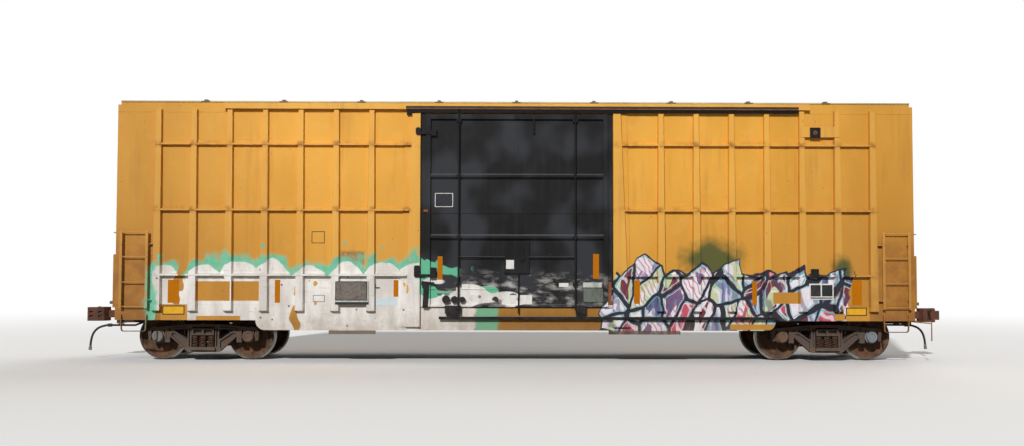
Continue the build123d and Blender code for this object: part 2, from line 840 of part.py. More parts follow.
with BuildPart() as knuckle:
    with Locations((knuckle_pivot[0], knuckle_pivot[1], coupler_height)):
        Cylinder(52, 2 * lug_gap - 10)
    nose = [
        (-45, -182), (60, -182), (95, -150), (100, -60), (80, -10), (45, 0), (0, -25), (0, -92), (-30, -85),
    ]
    prism(
        Plane.XY.offset(coupler_height - lug_gap + 5),
        [(pulling_face + x, y) for x, y in nose],
        2 * lug_gap - 10,
        radius=knuckle_rounding,
    )
    with Locations((knuckle_pivot[0], knuckle_pivot[1], coupler_height)):
        Cylinder(20.05, 400, mode=Mode.SUBTRACT)
save(coupler.part, "coupler_b")
save(knuckle.part, "knuckle_b")
save(turned(coupler.part), "coupler_a")
save(turned(knuckle.part), "knuckle_a")

# Truck side frame, drawn about the truck's own centre: rimmed casting with pockets both faces
frame_half = 85.0
pocket_depth = 40.0
with BuildPart() as side_frame:
    half_outline = [
        (0, rail + 700), (330, rail + 690), (700, rail + 655), (1030, rail + 630),
        (1090, rail + 560), (1075, rail + 372), (1022, rail + 372), (1022, rail + 590),
        (756, rail + 590), (756, rail + 336), (655, rail + 336), (655, rail + 440),
        (640, rail + 440), (305, rail + 145), (0, rail + 145),
    ]
    full_outline = half_outline + [(-x, z) for x, z in reversed(half_outline[1:-1])]
    with BuildSketch(Plane.XZ.offset(journal_centre), mode=Mode.PRIVATE) as casting:
        with BuildLine():
            Polyline(*full_outline, close=True)
        make_face()
        with Locations((0, rail + 422)):
            Rectangle(464, 436, mode=Mode.SUBTRACT)
        for end in (-1, 1):
            with BuildLine():
                Polyline(
                    (end * 308, rail + 602), (end * 600, rail + 586),
                    (end * 560, rail + 556), (end * 308, rail + 384), close=True,
                )
            make_face(mode=Mode.SUBTRACT)
        # columns: radius, corners
        roundings = [
            (45, [(1090, 560), (1030, 630), (305, 145)]),
            (30, [(1022, 590), (756, 590)]),
            (60, [(330, 690), (700, 655)]),
            (35, [(232, 640)]),
            (22, [(308, 602), (308, 384)]),
            (8, [(600, 586), (560, 556)]),
        ]
        for radius, corners in roundings:
            round_corners(casting, [(x, rail + z) for x, z in corners], radius)
    extrude(casting.sketch, amount=frame_half, both=True)
    pockets = [
        ("column", [(254, 250), (254, 618), (286, 616), (286, 250)]),
        ("diagonal", [(332, 208), (332, 362), (560, 518), (625, 518), (625, 464)]),
        ("arm", [(332, 626), (332, 664), (690, 632), (690, 560), (640, 560), (625, 610)]),
    ]
    for end in (-1, 1):
        for pocket, corners in pockets:
            for face in (-journal_centre - frame_half - 5, -journal_centre + frame_half - pocket_depth):
                prism(
                    Plane.XZ.offset(-face - pocket_depth - 5),
                    [(end * x, rail + z) for x, z in corners],
                    pocket_depth + 5,
                    mode=Mode.SUBTRACT,
                )
    for end in (-1, 1):
        block(
            end * half_wheelbase - 105, end * half_wheelbase + 105,
            -journal_centre - 80, -journal_centre + 80, axle_height + 90, rail + 640,
        )
        with Locations(Location((end * half_wheelbase, -journal_centre, axle_height), (90, 0, 0))):
            Cylinder(128, 150)
            Cylinder(78.05, 400, mode=Mode.SUBTRACT)
        for edge in (-1, 1):
            place = end * half_wheelbase + edge * 145
            block(place - 12, place + 12, -journal_centre - 96, -journal_centre - 80, rail + 400, rail + 560)
    block(-240, 240, -journal_centre - 134, -journal_centre + 134, rail + 185, rail + 205)
    block(-240, 240, -journal_centre - 142, -journal_centre - 130, rail + 185, rail + 246)

with BuildPart() as side_frames:
    add(side_frame.part)
    add(turned(side_frame.part))

# Truck bolster with the centre bowl and end windows
with BuildPart() as bolster:
    prism(
        Plane.YZ,
        [
            (-1135, rail + 480), (-1135, rail + 610), (-700, rail + 640), (700, rail + 640),
            (1135, rail + 610), (1135, rail + 480), (860, rail + 480), (450, rail + 380),
            (-450, rail + 380), (-860, rail + 480),
        ],
        215,
        both=True,
    )
    with Locations((0, 0, rail + 650)):
        Cylinder(225, 50)
    with Locations((0, 0, rail + 670)):
        Cylinder(190, 40, mode=Mode.SUBTRACT)
    for side in (-1, 1):
        block(-95, 95, side * 590, side * 680, rail + 600, rail + 740)
        for place in (-104, 104):
            block(place - 85, place + 85, side * 1060, side * 1140, rail + 510, rail + 585, mode=Mode.SUBTRACT)

# Spring nests between the side frames and the bolster
with BuildPart() as springs:
    for side in (-1, 1):
        for place in (-160, 0, 160):
            for row in (-68, 68):
                with Locations((place, side * journal_centre + row, rail + 342.5)):
                    Cylinder(60, 275)

# Brake beams with their shoes, which stand clear of the treads
shoe_radius = tread_radius + 12
beam_place = 350.0
with BuildPart() as beams:
    for end in (-1, 1):
        for side in (-1, 1):
            block(
                end * (beam_place - 60), end * (beam_place + 200), side * 726, side * 800,
                rail + 270, rail + 500,
            )
    for end in (-1, 1):
        with Locations(Location((end * half_wheelbase, 0, axle_height), (90, 0, 0))):
            Cylinder(shoe_radius, 1700, mode=Mode.SUBTRACT)
        rod((end * beam_place, -760, rail + 385), (end * beam_place, 760, rail + 385), 30)
        for side in (-1, 1):
            rod((end * beam_place, side * 700, rail + 385), (end * 245, 0, rail + 330), 18)

for end, letter in ((-1, "a"), (1, "b")):
    for piece, name in (
        (side_frames.part, "side_frames_"),
        (bolster.part, "truck_bolster_"),
        (springs.part, "springs_"),
        (beams.part, "brake_beams_"),
    ):
        save(piece.moved(Location((end * truck_centre, 0, 0))), name + letter)

# Wheelset: one axle with bearing caps and a pair of flanged wheels
with BuildPart() as axle:
    with BuildSketch(Plane.YZ) as axle_profile:
        with BuildLine():
            Polyline(
                (-1140, 0), (-1140, 58), (-1150, 66), (-1150, 98), (-1138, 108), (-1092, 108),
                (-1092, 78), (-905, 78), (-905, 92), (-840, 92), (-660, 105), (-600, 88),
                (600, 88), (660, 105), (840, 92), (905, 92), (905, 78), (1092, 78),
                (1092, 108), (1138, 108), (1150, 98), (1150, 66), (1140, 58), (1140, 0), close=True,
            )
        make_face()
    revolve(axis=Axis.Y)

wheel_back = 677.0
with BuildPart() as wheels:
    for side in (-1, 1):
        with BuildSketch(Plane.YZ, mode=Mode.PRIVATE) as wheel_profile:
            with BuildLine():
                Polyline(
                    *[
                        (side * (wheel_back + y), r)
                        for y, r in [
                            (-20, 106), (-20, 160), (55, 330), (0, 395),
                            (0, tread_radius + 14), (10, tread_radius + flange_height),
                            (22, tread_radius + flange_height), (46, tread_radius),
                            (140, tread_radius - 5), (145, 398), (92, 330), (70, 190),
                            (150, 150), (150, 106),
                        ]
                    ],
                    close=True,
                )
            make_face()
        revolve(wheel_profile.sketch, axis=Axis.Y)

wheelsets = [
    ("1", -truck_centre - half_wheelbase),
    ("2", -truck_centre + half_wheelbase),
    ("3", truck_centre - half_wheelbase),
    ("4", truck_centre + half_wheelbase),
]
for number, place in wheelsets:
    here = Location((place, 0, axle_height))
    save(axle.part.moved(here), "axle_" + number)
    save(wheels.part.moved(here), "wheels_" + number)
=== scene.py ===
"""Looks for the railroad boxcar: paint, rust and dust, coil springs, bolts, strips, plates and hoses.

Metres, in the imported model's own frame: +X along the car, the near side is -Y, +Z up.
"""

import json
import math

import bpy
import numpy as np
from mathutils import Matrix


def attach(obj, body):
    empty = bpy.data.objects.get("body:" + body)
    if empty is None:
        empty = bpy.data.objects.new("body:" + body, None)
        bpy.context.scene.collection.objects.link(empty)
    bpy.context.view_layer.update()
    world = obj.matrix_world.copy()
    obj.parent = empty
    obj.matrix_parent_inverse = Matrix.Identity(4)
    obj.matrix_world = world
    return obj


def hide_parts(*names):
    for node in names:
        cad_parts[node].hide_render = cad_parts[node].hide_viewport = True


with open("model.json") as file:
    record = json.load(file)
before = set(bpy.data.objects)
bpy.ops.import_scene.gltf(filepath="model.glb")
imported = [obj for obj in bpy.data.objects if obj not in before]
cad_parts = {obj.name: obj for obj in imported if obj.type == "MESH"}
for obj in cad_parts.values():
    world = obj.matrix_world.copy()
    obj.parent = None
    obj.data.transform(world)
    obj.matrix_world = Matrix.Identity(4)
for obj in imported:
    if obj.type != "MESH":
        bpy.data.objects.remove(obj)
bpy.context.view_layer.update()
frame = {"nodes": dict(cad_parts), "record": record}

# Sizes shared with the solids
rail = 0.0254
tread_radius = 0.4572
axle_height = rail + tread_radius
half_wheelbase = 0.889
truck_centre = 6.172
journal_centre = 1.003
side_face = 1.500
door_face = 1.530
gear_face, bolt_plate_face = 1.572, 1.586
track_bolt_face, track_face = 1.590, 1.596
lock_face, rod_face, board_face, roller_face = 1.604, 1.606, 1.612, 1.614
ladder_centre, ladder_half, ladder_face = 7.410, 0.250, 1.598
rung_heights = (1.052, 1.525, 2.015, 2.489)
ladder_brackets = (1.183, 2.266)
step_bolts, step_face = (0.820, 0.870), 1.550
roof_seam_count, roof_seam_pitch = 9, 1.520
ladder_edge = ladder_centre - ladder_half
first_post, post_pitch = 2.827, 0.691
stiffener_heights = (4.225, 2.940, 1.673)

# Camera: level view of the near side, tipped slightly up, as the photograph was taken
camera_place = (-0.300, -23.50, 1.708)
camera_pitch, camera_yaw, camera_roll = 2.626, -0.558, 0.119
camera_lens = 39.66
lens_data = bpy.data.cameras.new("view")
lens_data.lens = camera_lens
lens_data.sensor_width = 36.0
lens_data.clip_end = 400.0
camera = bpy.data.objects.new("view", lens_data)
camera.matrix_world = (
    Matrix.Translation(camera_place)
    @ Matrix.Rotation(math.radians(camera_yaw), 4, "Z")
    @ Matrix.Rotation(math.radians(90.0 + camera_pitch), 4, "X")
    @ Matrix.Rotation(math.radians(camera_roll), 4, "Z")
)
bpy.context.collection.objects.link(camera)
bpy.context.scene.camera = camera


def colour(red, green, blue):
    """A colour written as it looks on a screen, 0 to 255, as linear light."""
    shown = np.array([red, green, blue]) / 255.0
    linear = np.where(shown <= 0.04045, shown / 12.92, ((shown + 0.055) / 1.055) ** 2.4)
    return (*[float(part) for part in linear], 1.0)


class Wiring:
    """A node tree and the few kinds of node that the finishes here are made of."""

    def __init__(self, tree):
        self.tree = tree
        self.nodes = tree.nodes

    def add(self, kind, **settings):
        """A new node of this kind with these settings."""
        node = self.nodes.new(kind)
        for name, value in settings.items():
            setattr(node, name, value)
        return node

    def feed(self, socket, value):
        """Links a node's output to the socket, or gives the socket a plain value."""
        if isinstance(value, bpy.types.NodeSocket):
            self.tree.links.new(value, socket)
        elif value is not None:
            socket.default_value = value

    def math(self, operation, first, second=None, third=None, clamp=False):
        """The result of one sum on up to three values."""
        node = self.add("ShaderNodeMath", operation=operation, use_clamp=clamp)
        for socket, value in zip(node.inputs, (first, second, third)):
            self.feed(socket, value)
        return node.outputs[0]

    def times(self, *values):
        """The product of several values or masks."""
        product = values[0]
        for value in values[1:]:
            product = self.math("MULTIPLY", product, value)
        return product

    def most(self, *values):
        """The largest of several values or masks."""
        largest = values[0]
        for value in values[1:]:
            largest = self.math("MAXIMUM", largest, value)
        return largest

    def rest(self, value):
        """What a mask leaves: 1 less the value."""
        return self.less(1.0, value)

    def less(self, value, taken):
        """The value with an amount taken from it."""
        return self.math("SUBTRACT", value, taken)

    def line(self, value, factor, offset):
        """The value times a factor, plus an offset."""
        return self.math("MULTIPLY_ADD", value, factor, offset)

    def positive(self, value):
        """The value without its sign."""
        return self.math("ABSOLUTE", value)

    def passes(self, value, limit):
        """1 where the value is above the limit, else 0."""
        return self.math("GREATER_THAN", value, limit)

    def under(self, value, limit):
        """1 where the value is below the limit, else 0."""
        return self.math("LESS_THAN", value, limit)

    def mix(self, amount, first, second):
        """The first colour where the amount is 0 and the second where it is 1."""
        node = self.add("ShaderNodeMix", data_type="RGBA", clamp_factor=True)
        self.feed(node.inputs[0], amount)
        self.feed(node.inputs[6], first)
        self.feed(node.inputs[7], second)
        return node.outputs[2]

    def coat(self, base, mask, tone, share=None):
        """A tone, 0 to 255 as seen, over the base where the mask says, by this share."""
        amount = mask if share is None else self.times(mask, share)
        return self.mix(amount, base, colour(*tone))

    def fade(self, value, low, high, start=0.0, stop=1.0):
        """start below low, stop above high, with a smooth change between."""
        node = self.add("ShaderNodeMapRange", interpolation_type="SMOOTHSTEP", clamp=True)
        for socket, given in zip(node.inputs, (value, low, high, start, stop)):
            self.feed(socket, given)
        return node.outputs[0]

    def falls(self, value, low, high):
        """1 below low and 0 above high, with a smooth change between."""
        return self.fade(value, low, high, 1.0, 0.0)

    def between(self, value, low, high, soft=0.01):
        """1 between low and high, falling to 0 over soft at both ends."""
        rising = self.fade(value, low - soft, low + soft)
        falling = self.falls(value, high - soft, high + soft)
        return self.times(rising, falling)

    def scaled(self, vector, scale, offset=(0.0, 0.0, 0.0)):
        """A place stretched along each axis and then moved."""
        node = self.add("ShaderNodeMapping", vector_type="POINT")
        self.feed(node.inputs["Vector"], vector)
        node.inputs["Location"].default_value = offset
        node.inputs["Scale"].default_value = scale
        return node.outputs[0]

    def noise(self, vector, scale, detail=2.0, roughness=0.5):
        """Smooth noise, about 0.5 on average."""
        return self.clouds(vector, scale, detail, roughness)["Fac"]

    def patches(self, vector, scale, detail, roughness, low, high, start=0.0, stop=1.0):
        """Noise faded between low and high, so that it gathers into patches."""
        return self.fade(self.noise(vector, scale, detail, roughness), low, high, start, stop)

    def clouds(self, vector, scale, detail=2.0, roughness=0.5):
        """The outputs of a noise node, for its value or its three parts."""
        node = self.add("ShaderNodeTexNoise")
        self.feed(node.inputs["Vector"], vector)
        self.feed(node.inputs["Scale"], scale)
        node.inputs["Detail"].default_value = detail
        node.inputs["Roughness"].default_value = roughness
        return node.outputs

    def cells(self, vector, scale, feature="F1"):
        """The outputs of cells about scattered points: distance, colour and centre."""
        node = self.add("ShaderNodeTexVoronoi", feature=feature)
        self.feed(node.inputs["Vector"], vector)
        self.feed(node.inputs["Scale"], scale)
        return node.outputs

    def waves(self, vector, scale, distortion, direction="DIAGONAL"):
        """Parallel bands bent by noise."""
        node = self.add("ShaderNodeTexWave", bands_direction=direction)
        self.feed(node.inputs["Vector"], vector)
        node.inputs["Scale"].default_value = scale
        node.inputs["Distortion"].default_value = distortion
        node.inputs["Detail"].default_value = 2.0
        return node.outputs["Fac"]

    def steps(self, value, stops):
        """The colour of the last stop that the value has passed."""
        node = self.add("ShaderNodeValToRGB")
        node.color_ramp.interpolation = "CONSTANT"
        while len(node.color_ramp.elements) < len(stops):
            node.color_ramp.elements.new(0.5)
        for element, (place, shade) in zip(node.color_ramp.elements, stops):
            element.position = place
            element.color = shade
        self.feed(node.inputs[0], value)
        return node.outputs[0]

    def split(self, vector):
        """The three parts of a place or a colour."""
        node = self.add("ShaderNodeSeparateXYZ")
        self.feed(node.inputs[0], vector)
        return node.outputs

    def join(self, across, depth, up):
        """A place made of its three parts."""
        node = self.add("ShaderNodeCombineXYZ")
        for socket, value in zip(node.inputs, (across, depth, up)):
            self.feed(socket, value)
        return node.outputs[0]

    def group(self, tree, **values):
        """The outputs of a shared group, fed with these values."""
        node = self.add("ShaderNodeGroup", node_tree=tree)
        for name, value in values.items():
            self.feed(node.inputs[name], value)
        return node.outputs

    def from_row(self, value, pitch):
        """The distance to the nearest of a row that stands at 0 and at every pitch from it.

        It is the pitch times how far the value, in pitches, lies from a whole number.
        """
        part = self.math("FRACT", self.line(value, 1.0 / pitch, 0.5))
        return self.times(self.positive(self.less(part, 0.5)), pitch)

    def near_side(self, depth):
        """1 on the near side's outer surfaces."""
        return self.falls(depth, -1.40, -1.38)


def start_group(name, inputs, outputs):
    """A new shader node group with these named sockets: (its wiring, its inputs, its output node)."""
    tree = bpy.data.node_groups.new(name, "ShaderNodeTree")
    kinds = {"float": "NodeSocketFloat", "vector": "NodeSocketVector", "colour": "NodeSocketColor"}
    for socket, kind in inputs:
        tree.interface.new_socket(socket, in_out="INPUT", socket_type=kinds[kind])
    for socket, kind in outputs:
        tree.interface.new_socket(socket, in_out="OUTPUT", socket_type=kinds[kind])
    wiring = Wiring(tree)
    entry = wiring.add("NodeGroupInput")
    leave = wiring.add("NodeGroupOutput")
    return wiring, entry.outputs, leave


def build_edge_wear():
    """1 on outer edges, where a rounded normal leaves the flat one, broken into patches."""
    wiring, given, leave = start_group(
        "edge wear", [("Place", "vector"), ("Width", "float"), ("Patchiness", "float")], [("Mask", "float")]
    )
    rounded = wiring.add("ShaderNodeBevel", samples=4)
    wiring.feed(rounded.inputs["Radius"], given["Width"])
    flat = wiring.add("ShaderNodeNewGeometry")
    alike = wiring.add("ShaderNodeVectorMath", operation="DOT_PRODUCT")
    wiring.feed(alike.inputs[0], rounded.outputs[0])
    wiring.feed(alike.inputs[1], flat.outputs["Normal"])
    edge = wiring.fade(wiring.rest(alike.outputs["Value"]), 0.02, 0.16)
    broken = wiring.patches(given["Place"], 9.0, 3.0, 0.65, 0.40, 0.62)
    missing = wiring.times(given["Patchiness"], wiring.rest(broken))
    wiring.feed(leave.inputs["Mask"], wiring.times(edge, wiring.rest(missing)))
    return wiring.tree


def build_streaks():
    """Marks that run down an upright face: noise drawn out along Z, over a slow cloud."""
    wiring, given, leave = start_group(
        "streaks", [("Place", "vector"), ("Fineness", "float"), ("Amount", "float")], [("Mask", "float")]
    )
    drawn = wiring.scaled(given["Place"], (1.0, 1.0, 0.06))
    lines = wiring.noise(drawn, given["Fineness"], 4.0, 0.6)
    cloud = wiring.noise(given["Place"], 0.9, 2.0, 0.5)
    both = wiring.line(lines, 0.7, wiring.times(cloud, 0.3))
    threshold = wiring.line(given["Amount"], -0.30, 0.72)
    above = wiring.math("SUBTRACT", both, threshold, clamp=True)
    wiring.feed(leave.inputs["Mask"], wiring.math("MULTIPLY", above, 4.0, clamp=True))
    return wiring.tree


def build_rust_spots():
    """Small ragged dots, gathered in some places and absent in others."""
    wiring, given, leave = start_group(
        "rust spots", [("Place", "vector"), ("Size", "float"), ("Amount", "float")], [("Mask", "float")]
    )
    small = wiring.add("ShaderNodeVectorMath", operation="SCALE")
    wiring.feed(small.inputs[0], wiring.clouds(given["Place"], 24.0)["Color"])
    small.inputs["Scale"].default_value = 0.05
    bent = wiring.add("ShaderNodeVectorMath", operation="ADD")
    wiring.feed(bent.inputs[0], given["Place"])
    wiring.feed(bent.inputs[1], small.outputs[0])
    dots = wiring.cells(bent.outputs[0], wiring.math("DIVIDE", 1.0, given["Size"]))
    near_dot = wiring.falls(dots["Distance"], 0.10, 0.24)
    few = wiring.under(wiring.split(dots["Color"])[0], given["Amount"])
    gather = wiring.patches(given["Place"], 1.3, 2.0, 0.6, 0.46, 0.62)
    wiring.feed(leave.inputs["Mask"], wiring.times(near_dot, few, gather))
    return wiring.tree


def build_dust():
    """Pale road dust that lies on upward faces and climbs from the bottom."""
    inputs = [("Place", "vector"), ("Low", "float"), ("High", "float"), ("Amount", "float")]
    wiring, given, leave = start_group("dust", inputs, [("Mask", "float")])
    facing = wiring.split(wiring.add("ShaderNodeNewGeometry").outputs["Normal"])[2]
    lying = wiring.fade(facing, 0.3, 0.95)
    climbing = wiring.falls(wiring.split(given["Place"])[2], given["Low"], given["High"])
    cloud = wiring.patches(given["Place"], 5.0, 4.0, 0.65, 0.30, 0.70)
    wiring.feed(leave.inputs["Mask"], wiring.times(wiring.most(lying, climbing), cloud, given["Amount"]))
    return wiring.tree


def build_grain():
    """The small unevenness of sprayed or cast surfaces, as a height."""
    wiring, given, leave = start_group(
        "grain", [("Place", "vector"), ("Fine", "float"), ("Coarse", "float")], [("Height", "float")]
    )
    fine = wiring.noise(given["Place"], given["Fine"])
    coarse = wiring.noise(given["Place"], given["Coarse"])
    wiring.feed(leave.inputs["Height"], wiring.line(coarse, 0.7, wiring.times(fine, 0.3)))
    return wiring.tree


def build_axle_rings():
    """The distance from the nearest axle's centre line, and the colour of that bearing's end."""
    wiring, given, leave = start_group(
        "axle rings", [("Place", "vector")], [("Radius", "float"), ("Colour", "colour")]
    )
    across, _, up = wiring.split(given["Place"])
    from_truck = wiring.less(wiring.positive(across), truck_centre)
    from_axle = wiring.less(wiring.positive(from_truck), half_wheelbase)
    above = wiring.less(up, axle_height)
    squares = wiring.line(above, above, wiring.times(from_axle, from_axle))
    # The share of the way along a span over the car, 0 at the left end and 1 at the right
    span = 16.0
    along = wiring.line(across, 1.0 / span, 0.5)
    first_truck, second_truck = 0.5 - truck_centre / span, 0.5 + truck_centre / span
    ends = [
        (0.0, colour(128, 122, 116)), (first_truck, colour(104, 78, 62)),
        (0.5, colour(112, 84, 66)), (second_truck, colour(132, 138, 144)),
    ]
    wiring.feed(leave.inputs["Radius"], wiring.math("SQRT", squares))
    wiring.feed(leave.inputs["Colour"], wiring.steps(along, ends))
    return wiring.tree


def build_joint_grime_and_shade():
    """Grime and painted shade in the corners where the side posts cross the stiffeners.

    The mask is high where a post's flank and the foot or the head of a stiffener are both near,
    and noise breaks it up. A fainter line runs along the stiffeners.
    """
    wiring, given, leave = start_group("joint grime", [("Place", "vector")], [("Mask", "float")])
    across, _, up = wiring.split(given["Place"])
    from_middle = wiring.positive(across)
    from_post = wiring.from_row(wiring.less(from_middle, first_post), post_pitch)
    by_post = wiring.falls(from_post, 0.04, 0.12)
    from_lips = [wiring.positive(wiring.less(up, rail + height)) for height in stiffener_heights]
    by_lip = wiring.most(*[wiring.falls(distance, 0.02, 0.10) for distance in from_lips])
    blotchy = wiring.patches(given["Place"], 7.0, 3.0, 0.6, 0.34, 0.66)
    line = wiring.times(by_lip, wiring.patches(given["Place"], 2.3, 2.0, 0.5, 0.46, 0.62), 0.5)
    framed = wiring.falls(from_middle, 7.05, 7.20)
    joints = wiring.most(wiring.times(by_post, by_lip), line)
    wiring.feed(leave.inputs["Mask"], wiring.times(joints, framed, blotchy))
    return wiring.tree


edge_wear = build_edge_wear()
streaks = build_streaks()
rust_spots = build_rust_spots()
dust = build_dust()
grain = build_grain()
axle_rings = build_axle_rings()
joint_grime_and_shade = build_joint_grime_and_shade()

mint, pale_mint = colour(104, 184, 148), colour(124, 198, 168)
chalk, grey_chalk = colour(240, 236, 230), colour(214, 207, 199)
slate = colour(38, 40, 50)

# Where the loose paint starts and stops on the car, the sill's foot below which the body paint is darkened as
# painted shade, and the painted shade under the upper track's lip
door_left, door_right, door_foot, sill_foot = -1.88, 1.86, 1.060, 0.612
shade_foot, shade_head = rail + 4.835, rail + 4.910

# Panels that were masked off and repainted over the loose paint: left, right, foot, head above the rail
fresh_panels = [
    (-6.209, -5.543, 1.166, 1.544),
    (-5.515, -5.000, 1.167, 1.546),
    (-6.902, -6.381, 0.780, 1.097),
    (-6.212, -5.359, 0.780, 0.874),
    (-2.591, -2.357, 1.106, 1.210),
    (4.166, 5.102, 0.618, 0.723),
    (5.016, 5.537, 1.128, 1.347),
    (6.219, 6.414, 0.800, 0.940),
    (6.434, 6.900, 0.790, 1.060),
]


def build_fresh_panels():
    """1 inside the repainted panels."""
    wiring, given, leave = start_group("fresh panels", [("Place", "vector")], [("Mask", "float")])
    across, _, up = wiring.split(given["Place"])
    panels = [
        wiring.times(
            wiring.between(across, left, right, 0.004), wiring.between(up, rail + foot, rail + head, 0.004)
        )
        for left, right, foot, head in fresh_panels
    ]
    wiring.feed(leave.inputs["Mask"], wiring.most(*panels))
    return wiring.tree


def chalk_tone(wiring, place):
    """Chalk paint: brushed thin in places, scuffed along the car and grey with dirt towards its foot."""
    thin = wiring.noise(wiring.scaled(place, (1.0, 1.0, 0.3)), 3.4, 4.0, 0.6)
    tone = wiring.mix(wiring.fade(thin, 0.35, 0.65), chalk, grey_chalk)
    brushed = wiring.patches(wiring.scaled(place, (0.30, 1.0, 2.6)), 7.0, 4.0, 0.7, 0.56, 0.70)
    tone = wiring.coat(tone, brushed, (176, 164, 156), 0.32)
    up = wiring.split(place)[2]
    splashed = wiring.patches(place, 4.0, 4.0, 0.65, 0.30, 0.68)
    low = wiring.times(wiring.falls(up, 0.62, 1.20), splashed)
    tone = wiring.coat(tone, low, (178, 158, 134), 0.46)
    chips = wiring.cells(wiring.scaled(place, (1.0, 0.0, 1.0)), 5.5)
    chance = wiring.split(chips["Color"])[0]
    chipped = wiring.times(wiring.falls(chips["Distance"], 0.08, 0.14), wiring.passes(chance, 0.64))
    return wiring.coat(tone, chipped, (84, 52, 32), 0.85)


def build_cloud_paint():
    """Rolling mint and chalk clouds, brushed over the left part of the near side.

    The crest of the clouds is a height: a row of half circles, abs(sin), over a long wave and a slow
    noise. Chalk lies below the crest and mint in a soft band above it, and a few spots stay bare.
    """
    wiring, given, leave = start_group(
        "cloud paint", [("Place", "vector")], [("Colour", "colour"), ("Mask", "float")]
    )
    place = given["Place"]
    across, depth, up = wiring.split(place)
    slow = wiring.noise(place, 1.3, 3.0, 0.6)
    long_wave = wiring.math("SINE", wiring.times(across, 2.1))
    row = wiring.positive(wiring.math("SINE", wiring.line(across, 4.5, 0.8)))
    crest = wiring.line(long_wave, 0.07, 1.50)
    crest = wiring.line(wiring.math("POWER", row, 0.7), 0.22, crest)
    crest = wiring.line(slow, 0.42, crest)
    over = wiring.less(up, crest)
    fine = wiring.noise(place, 6.0, 3.0, 0.6)
    sprayed = wiring.line(wiring.noise(place, 2.1, 3.0, 0.55), 0.85, over)
    sprayed = wiring.line(fine, 0.10, sprayed)
    chalky = wiring.falls(wiring.line(fine, 0.04, over), 0.0, 0.030)
    flecks = wiring.cells(wiring.join(across, 0.0, up), 5.5)
    fleck = wiring.times(
        wiring.falls(flecks["Distance"], 0.20, 0.25), wiring.falls(over, 0.42, 0.46),
        wiring.passes(wiring.split(flecks["Color"])[0], 0.62),
    )
    minty = wiring.most(wiring.falls(sprayed, 0.51, 0.70), fleck)
    left_end = wiring.line(wiring.noise(place, 2.0, 2.0, 0.5), 0.55, across)
    minty = wiring.times(minty, wiring.fade(left_end, -6.96, -6.78))
    chalky = wiring.times(chalky, wiring.fade(left_end, -6.74, -6.68))
    before_door = wiring.falls(across, door_left - 0.02, door_left + 0.02)
    covering = wiring.times(wiring.most(minty, chalky), before_door)
    loose_place = wiring.scaled(place, (1.0, 1.0, 0.55), (9.0, 0.0, 4.0))
    bare = wiring.patches(loose_place, 2.3, 2.0, 0.5, 0.655, 0.665)
    covering = wiring.times(covering, wiring.rest(bare))
    mint_tone = wiring.mix(wiring.fade(fine, 0.3, 0.7), mint, pale_mint)
    wiring.feed(leave.inputs["Colour"], wiring.mix(chalky, mint_tone, chalk_tone(wiring, place)))
    wiring.feed(leave.inputs["Mask"], wiring.times(covering, wiring.near_side(depth)))
    return wiring.tree


